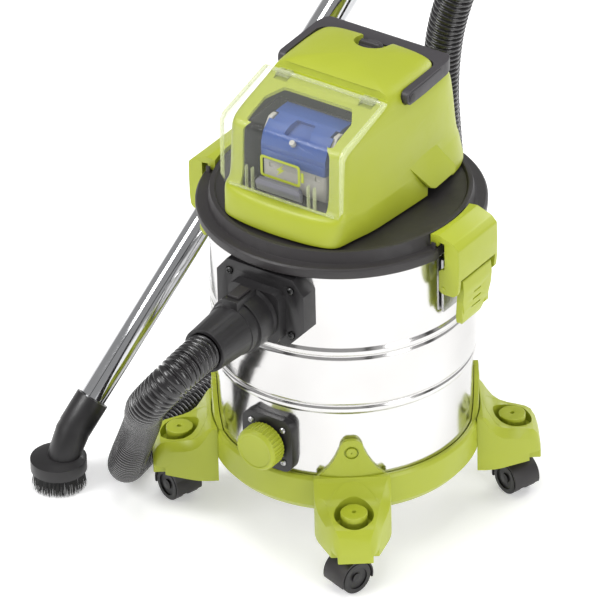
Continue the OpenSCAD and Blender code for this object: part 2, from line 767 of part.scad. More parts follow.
// A Catmull-Rom point between p[i] and p[i + 1]
function blend(p, i, t) = let (a = p[max(i - 1, 0)], b = p[i], c = p[i + 1],
  d = p[min(i + 2, len(p) - 1)])
  0.5 * (2 * b + (c - a) * t + (2 * a - 5 * b + 4 * c - d) * t * t
    + (3 * b - a - 3 * c + d) * t * t * t);
function smooth(p, n) = concat([for (i = [0:len(p) - 2], k = [0:n - 1]) blend(p, i, k / n)],
  [p[len(p) - 1]]);

module tube_along(path, r) {
  f = frames(path);
  n = len(path);
  points = [for (i = [0:n - 1], k = [0:sides - 1])
    path[i] + r * (cos(360 * k / sides) * f[i][0] + sin(360 * k / sides) * f[i][1])];
  walls = [for (i = [0:n - 2], k = [0:sides - 1]) let (a = i * sides + k, b = i * sides + (k + 1) % sides)
    [a, b, b + sides, a + sides]];
  polyhedron(concat(points, [path[0], path[n - 1]]),
    concat([for (w = walls) [w[0], w[2], w[1]]], [for (w = walls) [w[0], w[3], w[2]]],
      [for (k = [0:sides - 1]) [k, (k + 1) % sides, n * sides]],
      [for (k = [0:sides - 1]) [(n - 1) * sides + (k + 1) % sides, (n - 1) * sides + k, n * sides + 1]]),
    convexity = 10);
}

module hose() {
  color(BLACK) tube_along(smooth(HOSE, 2), hose_r);
}

module wand_inner() {
  color(STEEL) on_wand(-35) difference() {
    cylinder(r = tube_r, h = 505);
    translate([0, 0, -1]) cylinder(r = tube_r - 1.2, h = 507);
    for (k = [0:14]) translate([0, 0, 62 + 18.4 * k]) rotate([0, 0, -35]) translate([tube_r + 0.6, 0, 0])
      sphere(r = 3, $fn = 24);
  }
}

module wand_outer() {
  color(STEEL) on_wand(386) difference() {
    cylinder(r = tube_r + 2.5, h = wand_len - 386);
    translate([0, 0, -1]) cylinder(r = tube_r + 0.4, h = wand_len);
  }
}

module wand_lock() {
  color(CHARCOAL) on_wand(372) difference() {
    union() {
      cylinder(r = tube_r + 5.5, h = 62);
      translate([tube_r, -8, 12]) cube([8, 16, 34]);
    }
    translate([0, 0, 3]) cylinder(r = tube_r + 2.5 + run, h = 60);
    translate([0, 0, -1]) cylinder(r = tube_r + 0.4, h = 40);
  }
}

// The curved grip: the wand's own line, then a bend forward to the hose's end
grip_line = [[-75, 420, 727], [-67, 443, 754], [-58, 462, 781], [-47, 470, 806], [-34, 465, 822], [-22, 449, 827]];

module wand_grip() {
  color(BLACK) difference() {
    union() {
      on_wand(wand_len - 40) cylinder(r = tube_r + 6, h = 58);
      tube_along(smooth(grip_line, 4), 20);
    }
    on_wand(wand_len - 45) cylinder(r = tube_r + 2.5, h = 45);
  }
}

module relief_slider() {
  color(CHARCOAL) on_wand(wand_len - 32) translate([tube_r + 6.4, -7, 0]) cube([4, 14, 22]);
}

module brush_body() {
  color(BLACK) {
    difference() {
      union() {
        on_wand(-38) cylinder(r = tube_r + 4.5, h = 38);
        hull() {
          on_wand(-46) cylinder(r = tube_r + 4, h = 8.5, $fn = 32);
          translate([brush_c.x + 4, brush_c.y + 6, 38]) cylinder(r = 19, h = 2, $fn = 32);
        }
      }
      on_wand(-35) cylinder(r = tube_r, h = 60);
    }
    translate([brush_c.x, brush_c.y, 22]) cylinder(r = 32, h = 14);
    translate([brush_c.x, brush_c.y, 36]) cylinder(r1 = 31, r2 = 25, h = 3);
  }
}

module brush_bristles() {
  color(BLACK) translate([brush_c.x, brush_c.y, 0]) difference() {
    cylinder(r = 29, h = 22);
    translate([0, 0, -1]) cylinder(r = 20, h = 24);
  }
}

base_ring();
leg_front_right();
leg_back_right();
leg_back_left();
leg_front_left();
caster_front_right();
caster_back_right();
caster_back_left();
caster_front_left();
wheels_front_right();
wheels_back_right();
wheels_back_left();
wheels_front_left();
screws();
drum();
inlet_flange();
drain_flange();
drain_cap();
drain_seal();
latch_bracket_right();
latch_lever_right();
latch_hook_right();
latch_bracket_left();
latch_lever_left();
latch_hook_left();
latch_pins();
lid();
rim_seal();
head_shell();
carry_handle();
handle_pivots();
switch_knob();
battery_bay();
battery_door();
door_hinge_pin();
door_catch();
battery_case();
battery_shell();
battery_release_right();
battery_release_left();
gauge_button();
motor_can();
motor_bearings();
rotor();
impeller();
fan_housing();
circuit_board();
filter_cage();
float_ball();
filter_sleeve();
hose_cuff();
cuff_lock_button();
hose();
wand_grip();
relief_slider();
wand_outer();
wand_lock();
wand_inner();
brush_body();
brush_bristles();
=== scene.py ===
"""Shop vacuum: the visible pieces of a cordless wet and dry vacuum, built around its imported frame."""

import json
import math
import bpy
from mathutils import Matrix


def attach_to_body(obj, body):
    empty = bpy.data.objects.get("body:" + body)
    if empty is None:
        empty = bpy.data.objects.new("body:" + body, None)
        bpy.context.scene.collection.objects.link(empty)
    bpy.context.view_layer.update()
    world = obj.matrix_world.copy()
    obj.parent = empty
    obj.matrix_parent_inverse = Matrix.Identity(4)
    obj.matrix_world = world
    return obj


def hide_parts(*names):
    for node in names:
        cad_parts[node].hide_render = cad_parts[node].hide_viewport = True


bl_info = {
    "name": "Shop Vacuum",
    "version": (1, 0, 0),
    "blender": (4, 5, 0),
    "location": "View3D > Sidebar > Shop Vacuum",
    "description": "Builds the visible pieces of a shop vacuum around its packed frame",
    "category": "Add Mesh",
}

import bmesh
import bpy
from bpy.props import FloatProperty, FloatVectorProperty, PointerProperty
from mathutils import Matrix, Vector

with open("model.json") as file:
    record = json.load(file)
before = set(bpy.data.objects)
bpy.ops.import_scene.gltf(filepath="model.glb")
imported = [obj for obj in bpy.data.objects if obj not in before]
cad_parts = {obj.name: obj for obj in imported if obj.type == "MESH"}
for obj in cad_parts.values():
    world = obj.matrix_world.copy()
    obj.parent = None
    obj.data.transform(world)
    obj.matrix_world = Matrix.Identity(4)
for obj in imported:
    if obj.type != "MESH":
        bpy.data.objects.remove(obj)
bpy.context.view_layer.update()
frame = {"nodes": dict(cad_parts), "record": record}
MM = 0.001
RIM_STEPS = 3  # steps in a prism's rounded rim
CORNERS = ("front_right", "back_right", "back_left", "front_left")
LEG_ANGLES = dict(zip(CORNERS, (-53, 37, 127, 217)))
SIDES = {"right": 1, "left": -1}

# Axes that several pieces share: a leg's post and caster stem, the knob, the handle and the door
POST_AXIS = (186, 0)
STEM_AXIS = (184, 0)
KNOB_AXIS = (0, 60)
PIVOT = (14, 531)
DOOR_HINGE = (-22, 536)

# ---------------------------------------------------------------- sizes and colours


def mm(name, description, default):
    """A length in millimetres that a user can change."""
    return FloatProperty(name=name, description=description, default=default, min=0.0)


class VacuumSizes(bpy.types.PropertyGroup):
    """The sizes that the visible pieces are made from, in millimetres."""

    wall_radius: mm("Drum wall", "Outer radius of the drum's upper wall", 146.0)
    low_radius: mm("Lower wall", "Outer radius of the drum below its lower bead", 143.0)
    band_radius: mm("Middle band", "Outer radius between the drum's two beads", 148.5)
    low_bead: mm("Lower bead", "Height of the drum's lower bead", 202.0)
    high_bead: mm("Upper bead", "Height of the drum's upper bead", 276.0)
    inlet_height: mm("Inlet", "Height of the hose inlet's axis", 326.0)
    drain_height: mm("Drain", "Height of the drain's axis", 150.0)
    hose_radius: mm("Hose", "Outer radius of the hose", 21.0)
    hose_pitch: mm("Hose pitch", "Distance from one rib of the hose to the next", 6.4)


def colour(name, description, value):
    """A linear colour that a user can change."""
    return FloatVectorProperty(
        name=name, description=description, default=value, size=3, min=0.0, max=1.0, subtype="COLOR")


class VacuumColours(bpy.types.PropertyGroup):
    """The base colours of the finishes."""

    lime: colour("Lime", "Legs, latches, head and drain cap", (0.395, 0.450, 0.026))
    charcoal: colour("Charcoal", "Lid and battery bay", (0.026, 0.023, 0.024))
    black: colour("Black", "Flanges, cuff, grip and brush", (0.016, 0.015, 0.016))
    slate: colour("Slate", "Handle, knob and catch", (0.047, 0.043, 0.048))
    blue: colour("Blue", "Battery's upper shell", (0.026, 0.080, 0.31))
    stone: colour("Stone", "Battery's lower case and its buttons", (0.52, 0.50, 0.45))
    hose: colour("Hose", "Corrugated hose", (0.012, 0.011, 0.012))


# ---------------------------------------------------------------- node trees


class Wire:
    """A node's output that can be used in arithmetic."""

    def __init__(self, tree, socket):
        self.tree, self.socket = tree, socket

    def sum_of(self, operation, *values):
        node = self.tree.nodes.new("ShaderNodeMath")
        node.operation = operation
        for entry, value in zip(node.inputs, values):
            attach(self.tree, entry, value)
        return Wire(self.tree, node.outputs[0])

    def __add__(self, other):
        return self.sum_of("ADD", self, other)

    def __sub__(self, other):
        return self.sum_of("SUBTRACT", self, other)

    def __mul__(self, other):
        return self.sum_of("MULTIPLY", self, other)

    def __truediv__(self, other):
        return self.sum_of("DIVIDE", self, other)


def attach(tree, entry, value):
    """Joins a wire to a node's input, or sets the input to a value."""
    if isinstance(value, Wire):
        tree.links.new(value.socket, entry)
    else:
        entry.default_value = value


class Tree:
    """A node tree in which any node is made by one method."""

    def __init__(self, tree):
        self.tree = tree

    def node(self, kind, settings=None, values=None, out=0):
        """Makes a node: its settings first, then its inputs by name or number, and returns an output."""
        made = self.tree.nodes.new(kind)
        for key, setting in (settings or {}).items():
            if key == "stops":
                fill_ramp(made.color_ramp, setting)
            else:
                setattr(made, key, setting)
        for key, value in (values or {}).items():
            attach(self.tree, made.inputs[key], value)
        return Wire(self.tree, made.outputs[out])


def fill_ramp(ramp, stops):
    """Gives a colour ramp its stops, each a place and a grey or a colour."""
    while len(ramp.elements) < len(stops):
        ramp.elements.new(0.5)
    for element, (place, value) in zip(ramp.elements, stops):
        element.position = place
        shade = value if isinstance(value, tuple) else (value, value, value)
        element.color = (*shade, 1.0)


# ---------------------------------------------------------------- finishes


class Finish(Tree):
    """A material whose one Principled shader is fed by this tree."""

    def __init__(self, name, **constants):
        self.material = bpy.data.materials.new(name)
        self.material.use_nodes = True
        super().__init__(self.material.node_tree)
        self.shader = self.tree.nodes["Principled BSDF"]
        self.place = self.node("ShaderNodeTexCoord", out=3)
        for key, value in constants.items():
            self.shader.inputs[key.replace("_", " ").title().replace("Ior", "IOR")].default_value = value

    def noise(self, scale, detail=3.0, stretch=(1, 1, 1), rough=0.5):
        """Noise in the object's own coordinates, from 0 to 1."""
        at = self.node("ShaderNodeMapping", values={"Vector": self.place, "Scale": stretch})
        return self.node("ShaderNodeTexNoise", values={
            "Vector": at, "Scale": scale, "Detail": detail, "Roughness": rough})

    def ramp(self, factor, low, high, bottom=0.0, top=1.0):
        """Spreads a factor between two places over a range of values."""
        return self.node("ShaderNodeMapRange", values={
            "Value": factor, "From Min": low, "From Max": high, "To Min": bottom, "To Max": top})

    def blend(self, factor, first, second):
        """Mixes two colours."""
        made = self.tree.nodes.new("ShaderNodeMix")
        made.data_type = "RGBA"
        for number, value in ((0, factor), (6, first), (7, second)):
            attach(self.tree, made.inputs[number], value)
        return Wire(self.tree, made.outputs[2])

    def bump(self, height, distance, strength=1.0):
        """Raises the surface by height times distance, in metres."""
        bump = self.node("ShaderNodeBump", values={
            "Height": height, "Distance": distance, "Strength": strength})
        self.feed("Normal", bump)

    def feed(self, socket, value):
        attach(self.tree, self.shader.inputs[socket], value)
        return self


def rgb(colour_value, gain=1.0):
    return tuple(min(1.0, c * gain) for c in colour_value) + (1.0,)


def moulded(name, colour_value, roughness, grain=0.00006, spread=0.06, coat=0.0):
    """Moulded plastic: slight mottling, handling marks in its gloss, and a fine spark-eroded grain."""
    made = Finish(name, coat_weight=coat, coat_roughness=0.25, ior=1.5)
    cloud = made.noise(9.0, 4.0)
    made.feed("Base Color", made.blend(
        made.ramp(cloud, 0.35, 0.65), rgb(colour_value, 1 - spread), rgb(colour_value, 1 + spread)))
    smear = made.noise(34.0, 5.0, rough=0.65)
    made.feed("Roughness", made.ramp(smear, 0.3, 0.7, roughness - 0.06, roughness + 0.08))
    made.bump(made.noise(1500.0, 2.0), grain, 0.6)
    return made.material


def stainless_sheet(name):
    """Bright-rolled stainless sheet: a round-the-drum brush line and faint clouding."""
    made = Finish(name, metallic=1.0)
    cloud = made.noise(6.0, 3.0)
    brush = made.noise(60.0, 3.0, (1.0, 1.0, 24.0))
    made.feed("Base Color", made.blend(made.ramp(cloud, 0.3, 0.7), rgb((0.66, 0.65, 0.64)),
                                       rgb((0.76, 0.755, 0.75))))
    made.feed("Roughness", made.ramp(brush, 0.3, 0.7, 0.11, 0.20) + made.ramp(cloud, 0.3, 0.7, -0.02, 0.03))
    made.bump(brush, 0.00002, 0.35)
    return made.material


def chrome_tube(name):
    """Chromed tube with faint finger smears."""
    made = Finish(name, metallic=1.0)
    smear = made.noise(22.0, 5.0, rough=0.7)
    made.feed("Base Color", made.blend(smear, rgb((0.54, 0.55, 0.57)), rgb((0.62, 0.62, 0.63))))
    made.feed("Roughness", made.ramp(smear, 0.35, 0.75, 0.05, 0.16))
    return made.material


def plain_steel(name, shade, roughness):
    """Zinc-plated or turned steel."""
    made = Finish(name, metallic=1.0)
    speck = made.noise(400.0, 3.0)
    made.feed("Base Color", made.blend(speck, rgb((shade,) * 3, 0.85), rgb((shade,) * 3, 1.1)))
    made.feed("Roughness", made.ramp(speck, 0.3, 0.7, roughness - 0.07, roughness + 0.07))
    made.bump(speck, 0.00003, 0.4)
    return made.material


def clear_moulding(name, least, rise, tint):
    """Clear moulded plastic with a painted sheen: its pale colour grows more opaque at a low angle, standing
    in for its gloss.
    """
    made = Finish(name, ior=1.45, coat_weight=0.6, coat_roughness=0.04)
    # Painted sheen: the more the surface turns away from the view, the more opaque its pale colour is made
    rim = made.node("ShaderNodeLayerWeight", values={"Blend": 0.35}, out=1)
    haze = made.noise(30.0, 4.0)
    made.feed("Base Color", made.blend(haze, rgb(tint, 0.96), rgb(tint)))
    made.feed("Roughness", made.ramp(haze, 0.3, 0.7, 0.06, 0.14))
    made.feed("Alpha", made.ramp(rim, 0.1, 0.95, least, least + rise))
    return made.material


def sponge(name):
    """Open-cell filter foam, with painted shade: the pits of its cells are painted darker."""
    made = Finish(name)
    cells_and_pit_shade = made.node("ShaderNodeTexVoronoi", values={"Vector": made.place, "Scale": 700.0})
    # Painted shade: the cells' middles, which the bump below sinks into pits, are painted darker than the
    # strands between them
    made.feed("Base Color", made.blend(cells_and_pit_shade, (0.006, 0.006, 0.006, 1), (0.07, 0.07, 0.07, 1)))
    made.feed("Roughness", made.ramp(cells_and_pit_shade, 0.0, 0.6, 0.75, 0.98))
    made.bump(cells_and_pit_shade, 0.0006, 0.9)
    return made.material


def board_lacquer(name):
    """A green lacquered circuit board with the shadow of its tracks."""
    made = Finish(name, coat_weight=0.4, coat_roughness=0.2)
    track = made.node("ShaderNodeTexBrick", values={"Vector": made.place, "Scale": 60.0})
    made.feed("Base Color", made.blend(made.ramp(track, 0.2, 0.8), (0.004, 0.05, 0.018, 1),
                                       (0.01, 0.12, 0.04, 1)))
    made.feed("Roughness", made.ramp(made.noise(80.0), 0.3, 0.7, 0.3, 0.45))
    return made.material


FINISHES = {}


def finishes():
    """Makes every finish once, keyed by the record's material slots and a few of their variants."""
    if FINISHES:
        return FINISHES
    hue = bpy.context.scene.vacuum_colours
    FINISHES.update({
        "lime_plastic": moulded("lime plastic", hue.lime, 0.40, spread=0.03, coat=0.12),
        "charcoal_plastic": moulded("charcoal plastic", hue.charcoal, 0.48, 0.0001, 0.1),
        "black_plastic": moulded("black plastic", hue.black, 0.38, 0.00008, 0.12),
        "grey_plastic": moulded("slate plastic", hue.slate, 0.42, 0.00008, 0.08),
        "light_plastic": moulded("stone plastic", hue.stone, 0.45, 0.00006, 0.05),
        "blue_plastic": moulded("blue plastic", hue.blue, 0.36, 0.00006, 0.08),
        # Clear finishes: alpha face-on, the rise of their painted sheen's alpha at a low angle, and their
        # tint
        "clear_plastic": clear_moulding("clear plastic", 0.03, 0.15, (0.90, 0.93, 0.86)),
        "frosted_edge": clear_moulding("frosted edge", 0.18, 0.36, (0.80, 0.86, 0.48)),
        "stainless_steel": stainless_sheet("stainless sheet"),
        "steel": plain_steel("plated steel", 0.55, 0.34),
        "blackened_steel": plain_steel("blackened steel", 0.07, 0.42),
        "catch_grey": moulded("catch plastic", (0.17, 0.17, 0.19), 0.40, 0.00006, 0.05),
        "chrome": chrome_tube("chromed tube"),
        "rubber": moulded("seal rubber", (0.012, 0.012, 0.012), 0.62, 0.0001, 0.15),
        "hose_plastic": moulded("hose plastic", hue.hose, 0.22, 0.00002, 0.2, coat=0.35),
        "foam": sponge("filter foam"),
        "circuit_green": board_lacquer("board lacquer"),
        "bristle": moulded("bristle", (0.014, 0.014, 0.014), 0.5, 0.00004, 0.3),
    })
    return FINISHES


# ---------------------------------------------------------------- shaping


def solid(name, points, faces):
    """A mesh object from points in millimetres."""
    mesh = bpy.data.meshes.new(name)
    mesh.from_pydata([Vector(p) * MM for p in points], [], faces)
    made = bpy.data.objects.new(name, mesh)
    bpy.context.scene.collection.objects.link(made)
    return made


def outward(piece):
    """Merges doubles and turns every face outwards."""
    work = bmesh.new()
    work.from_mesh(piece.data)
    bmesh.ops.remove_doubles(work, verts=work.verts, dist=0.00002)
    bmesh.ops.recalc_face_normals(work, faces=work.faces)
    work.to_mesh(piece.data)
    work.free()
    return piece


def rect(x0, y0, x1, y1):
    """The outline of a rectangle from one corner to the opposite one."""
    return [(x0, y0), (x1, y0), (x1, y1), (x0, y1)]


def filleted(line, radius, steps=4, closed=True):
    """Rounds the corners of a line. radius is one number, or one for each point."""
    count = len(line)
    radii = radius if isinstance(radius, (list, tuple)) else [radius] * count
    result = []
    for i, (point, r) in enumerate(zip(line, radii)):
        here = Vector(point)
        if r <= 0 or (not closed and i in (0, count - 1)):
            result.append(tuple(here))
            continue
        back, ahead = Vector(line[i - 1]) - here, Vector(line[(i + 1) % count]) - here
        half = back.angle(ahead) / 2
        reach = min(r / math.tan(half), back.length * 0.49, ahead.length * 0.49)
        first, last = here + back.normalized() * reach, here + ahead.normalized() * reach
        for k in range(steps + 1):
            t = k / steps
            result.append(tuple(first * (1 - t) ** 2 + here * 2 * t * (1 - t) + last * t * t))
    return result


def loft(name, rings, closed=False):
    """Joins rings of equal length into a skin, with its two ends closed or joined to each other."""
    size, count = len(rings[0]), len(rings)
    points = [p for ring in rings for p in ring]
    faces = []
    for i in range(count if closed else count - 1):
        a, b = i * size, (i + 1) % count * size
        faces += [(a + k, a + (k + 1) % size, b + (k + 1) % size, b + k) for k in range(size)]
    if not closed:
        faces += [tuple(reversed(range(size))), tuple(range((count - 1) * size, count * size))]
    return outward(solid(name, points, faces))


def lathe(name, line, centre=(0, 0), axis="Z", segments=96):
    """Turns a closed line of (radius, height) about an axis through centre."""
    rings = []
    for i in range(segments):
        a = math.tau * i / segments
        rings.append([oriented(centre[0] + r * math.cos(a), centre[1] + r * math.sin(a), h, axis)
                      for r, h in line])
    return loft(name, rings, closed=True)


def oriented(a, b, h, axis):
    """A point at a and b across an axis and h along it."""
    return {"Z": (a, b, h), "Y": (a, h, b), "X": (h, a, b)}[axis]


def rod(name, radius, low, high, centre=(0, 0), axis="Z", edge=0.0, segments=48):
    """A round bar with softened ends."""
    line = filleted(rect(0, low, radius, high), [0, edge, edge, 0])
    rings = [[oriented(centre[0] + r * math.cos(math.tau * k / segments),
                       centre[1] + r * math.sin(math.tau * k / segments), h, axis) for k in range(segments)]
             for r, h in line if r > 0]
    return loft(name, rings)


def prism(name, outline, low, high, axis="Z", edge=0.0):
    """An outline carried along an axis, its two rims rounded by edge."""
    centre = sum((Vector(p) for p in outline), Vector((0, 0))) / len(outline)
    rings = []
    for k in range(RIM_STEPS + 1):
        turn = math.pi / 2 * k / RIM_STEPS
        rings.append((edge * (1 - math.sin(turn)), low + edge * (1 - math.cos(turn))))
    if edge == 0.0:
        rings = [(0.0, low)]
    rings += [(inset, high - (h - low)) for inset, h in reversed(rings)]
    return loft(name, [[oriented(*p, h, axis) for p in shrink(outline, centre, inset)] for inset, h in rings])


def shrink(outline, centre, inset):
    """Moves each point of an outline inwards, square to the outline, by inset."""
    if inset == 0.0:
        return outline
    count, area = len(outline), 0.0
    for i, p in enumerate(outline):
        q = outline[(i + 1) % count]
        area += p[0] * q[1] - q[0] * p[1]
    way = 1 if area > 0 else -1
    result = []
    for i, p in enumerate(outline):
        a = (Vector(p) - Vector(outline[i - 1]))
        b = (Vector(outline[(i + 1) % count]) - Vector(p))
        a, b = (a if a.length > 1e-6 else b).normalized(), (b if b.length > 1e-6 else a).normalized()
        normal = Vector((-a.y - b.y, a.x + b.x)) * way
        normal = normal.normalized() / max(0.5, (normal.length / 2) or 1.0)
        result.append(tuple(Vector(p) + normal * inset))
    return result


def baked(piece):
    """Applies every modifier of a piece to its mesh."""
    bpy.context.view_layer.update()
    graph = bpy.context.evaluated_depsgraph_get()
    mesh = bpy.data.meshes.new_from_object(piece.evaluated_get(graph))
    piece.modifiers.clear()
    piece.data = mesh
    return piece


def combined(piece, tools, operation):
    """Joins, cuts or keeps piece with other solids, which are used up."""
    for tool in tools:
        made = piece.modifiers.new("part", "BOOLEAN")
        made.operation, made.object, made.solver = operation, tool, "EXACT"
    baked(piece)
    for tool in tools:
        bpy.data.objects.remove(tool)
    return piece


def joined(piece, *tools):
    return combined(piece, tools, "UNION")


def cut(piece, *tools):
    return combined(piece, tools, "DIFFERENCE")


def kept(piece, *tools):
    return combined(piece, tools, "INTERSECT")


def softened(piece, width, angle=28.0, segments=3, clean=0.06):
    """Rounds the sharp edges of a piece."""
    work = bmesh.new()
    work.from_mesh(piece.data)
    bmesh.ops.remove_doubles(work, verts=work.verts, dist=clean * MM)
    bmesh.ops.dissolve_limit(work, angle_limit=math.radians(1.2), verts=work.verts, edges=work.edges)
    work.to_mesh(piece.data)
    work.free()
    made = piece.modifiers.new("edges", "BEVEL")
    made.width, made.segments, made.limit_method = width * MM, segments, "ANGLE"
    made.angle_limit, made.use_clamp_overlap, made.harden_normals = math.radians(angle), True, False
    made.miter_outer = "MITER_ARC"
    return baked(piece)


def moved(piece, turn=0.0, shift=(0, 0, 0), matrix=None):
    """Turns a piece's mesh about Z in degrees, then shifts it in millimetres."""
    place = Matrix.Translation(Vector(shift) * MM) @ Matrix.Rotation(math.radians(turn), 4, "Z")
    piece.data.transform(matrix if matrix is not None else place)
    return piece


def flipped(piece):
    """The piece mirrored from the right side to the left."""
    piece.data.transform(Matrix.Scale(-1, 4, Vector((1, 0, 0))))
    return outward(piece)


def on_side(piece, side):
    """A piece shaped for the right side, moved to its own side."""
    return piece if side > 0 else flipped(piece)


def copy_of_node(node, name):
    """A merged copy of a CAD node's mesh, to be finished further."""
    piece = bpy.data.objects.new(name, frame["nodes"][node].data.copy())
    bpy.context.scene.collection.objects.link(piece)
    piece.data.materials.clear()
    work = bmesh.new()
    work.from_mesh(piece.data)
    bmesh.ops.remove_doubles(work, verts=work.verts, dist=0.00001)
    bmesh.ops.dissolve_limit(work, angle_limit=math.radians(1.5), verts=work.verts, edges=work.edges)
    work.to_mesh(piece.data)
    work.free()
    return piece


def merged(name, pieces):
    """Several solids as the separate shells of one object."""
    work = bmesh.new()
    for piece in pieces:
        work.from_mesh(piece.data)
        bpy.data.objects.remove(piece)
    mesh = bpy.data.meshes.new(name)
    work.to_mesh(mesh)
    work.free()
    made = bpy.data.objects.new(name, mesh)
    bpy.context.scene.collection.objects.link(made)
    return made


def shown(piece, slot, body, replaces=(), finish=None, smooth=35.0):
    """Gives a finished piece its material and its body."""
    piece.data.materials.clear()
    piece.data.materials.append(finishes()[finish or slot])
    piece.data.polygons.foreach_set("use_smooth", [True] * len(piece.data.polygons))
    piece.data.set_sharp_from_angle(angle=math.radians(smooth))
    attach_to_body(piece, body)
    if replaces:
        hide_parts(*replaces)
    return piece


def body_of(node):
    return next(body for body, nodes in frame["record"]["behaviour"]["bodies"].items() if node in nodes)


def finished_node(node, edge):
    """A CAD node's own shape with its edges rounded, in its slot's finish."""
    slot = next(s["material_slot"] for s in frame["record"]["subparts"] if s["node"] == node)
    piece = softened(copy_of_node(node, f"{node}_moulding"), edge)
    return shown(piece, slot, body_of(node), [node])


# ---------------------------------------------------------------- view and stage

VIEW = {"azimuth": 34.9, "elevation": 32.04, "distance": 7.063, "target": (0.0, 0.0, 0.250), "roll": -1.1,
        "lens": 384.0, "shift_x": -0.0727, "shift_y": 0.0033}


class VACUUM_OT_view(bpy.types.Operator):
    """Stand the camera at the front right, above the rim"""

    bl_idname = "vacuum.view"
    bl_label = "Camera"

    def execute(self, context):
        azimuth, elevation = math.radians(VIEW["azimuth"]), math.radians(VIEW["elevation"])
        away = Vector((math.sin(azimuth) * math.cos(elevation), -math.cos(azimuth) * math.cos(elevation),
                       math.sin(elevation)))
        data = bpy.data.cameras.new("camera")
        data.lens, data.sensor_width = VIEW["lens"], 36.0
        data.shift_x, data.shift_y = VIEW["shift_x"], VIEW["shift_y"]
        data.clip_end = 30.0
        camera = bpy.data.objects.new("camera", data)
        camera.location = Vector(VIEW["target"]) + away * VIEW["distance"]
        roll = Matrix.Rotation(math.radians(VIEW["roll"]), 3, "Z").to_quaternion()
        camera.rotation_mode = "QUATERNION"
        camera.rotation_quaternion = away.to_track_quat("Z", "Y") @ roll
        context.scene.collection.objects.link(camera)
        context.scene.camera = camera
        return {"FINISHED"}


def lamp(name, place, aim, size, watts, tint=(1, 1, 1)):
    """A soft rectangular studio light."""
    data = bpy.data.lights.new(name, "AREA")
    data.shape, data.size, data.size_y, data.energy, data.color = "RECTANGLE", *size, watts, tint
    made = bpy.data.objects.new(name, data)
    made.location = place
    made.rotation_mode = "QUATERNION"
    made.rotation_quaternion = (Vector(place) - Vector(aim)).to_track_quat("Z", "Y")
    bpy.context.scene.collection.objects.link(made)
    return made


# Dark cards that only reflections see: name, place, width and height in metres, and shade
FELT_CARDS = (("right", (2.6, -1.9, 0.9), 0.34, 2.4, 0.03), ("left", (-0.6, -3.0, 0.8), 0.30, 2.2, 0.05),
              ("far", (3.1, 0.9, 0.9), 0.5, 2.4, 0.04))


class VACUUM_OT_stage(bpy.types.Operator):
    """Lay the pale floor and hang the studio lights"""

    bl_idname = "vacuum.stage"
    bl_label = "Stage"

    def execute(self, context):
        floor = solid("floor", [(x, y, 0) for x, y in rect(-9000, -9000, 9000, 9000)], [(0, 1, 2, 3)])
        paper = Finish("floor paper", specular_ior_level=0.1, emission_strength=0.36)
        fibre = paper.noise(3.0)
        paper.feed("Emission Color", paper.blend(fibre, rgb((0.97, 0.97, 0.97)), rgb((1.0, 1.0, 1.0))))
        paper.feed("Base Color", paper.blend(fibre, rgb((0.86, 0.86, 0.86)), rgb((0.88, 0.88, 0.88))))
        paper.feed("Roughness", paper.ramp(fibre, 0.3, 0.7, 0.85, 0.95))
        floor.data.materials.append(paper.material)
        world = bpy.data.worlds.new("studio")
        world.use_nodes = True
        sky = Tree(world.node_tree)
        glow = world.node_tree.nodes["Background"]
        way = sky.node("ShaderNodeTexCoord", out=0)
        up = sky.node("ShaderNodeSeparateXYZ", values={"Vector": way}, out=2)
        shade = sky.node("ShaderNodeValToRGB",
                         {"stops": [(0.0, 0.80), (0.48, 0.95), (0.55, 0.62), (1.0, 0.55)]},
                         {"Fac": up * 0.5 + 0.5})
        attach(world.node_tree, glow.inputs["Color"], shade)
        glow.inputs["Strength"].default_value = 0.68
        context.scene.world = world
        for word, place, wide, high, shade in FELT_CARDS:
            away = Vector((place[0], place[1], 0)).normalized()
            across = Vector((-away.y, away.x, 0)) * wide * 500
            rise = Vector((0, 0, high * 500))
            middle = Vector(place) * 1000
            card = solid(f"{word} card", [middle - across - rise, middle + across - rise,
                                          middle + across + rise, middle - across + rise], [(0, 1, 2, 3)])
            felt = Finish(f"{word} felt")
            fuzz = felt.noise(40.0)
            felt.feed("Base Color", felt.blend(fuzz, rgb((shade * 0.9,) * 3), rgb((shade * 1.1,) * 3)))
            felt.feed("Roughness", felt.ramp(fuzz, 0.3, 0.7, 0.9, 1.0))
            card.data.materials.append(felt.material)
            card.visible_camera = card.visible_shadow = card.visible_diffuse = False
        centre = (0, 0, 0.3)
        lamp("key", (-1.6, -2.6, 2.9), centre, (1.6, 1.6), 80)
        lamp("side", (3.0, -0.6, 1.5), centre, (0.9, 2.2), 34)
        lamp("rim", (0.6, 3.2, 2.2), centre, (2.4, 1.2), 50)
        lamp("top", (0.0, -0.2, 3.4), centre, (2.0, 2.0), 38)
        context.scene.view_settings.view_transform = "Standard"
        return {"FINISHED"}


# ---------------------------------------------------------------- hose

HOSE_ROUTE = [
    (0, -.262, .326), (0, -.290, .325), (-.008, -.318, .312), (-.036, -.318, .276), (-.072, -.278, .232),
    (-.108, -.232, .184), (-.144, -.195, .132), (-.176, -.170, .080), (-.202, -.142, .042),
              (-.219, -.108, .024),
    (-.226, -.066, .022), (-.230, -.010, .022), (-.230, .060, .022), (-.222, .120, .022), (-.200, .172, .022),
    (-.162, .212, .022), (-.112, .236, .022), (-.066, .246, .024), (-.034, .248, .044), (-.016, .246, .088),
    (-.008, .238, .150), (-.006, .228, .220), (-.006, .218, .290), (-.006, .209, .360), (-.004, .202, .430),
    (.006, .198, .500), (.022, .200, .560), (.038, .214, .620), (.050, .242, .682), (.054, .284, .742),
    (.050, .334, .790), (.036, .384, .822), (.010, .428, .834), (-.016, .446, .826)]


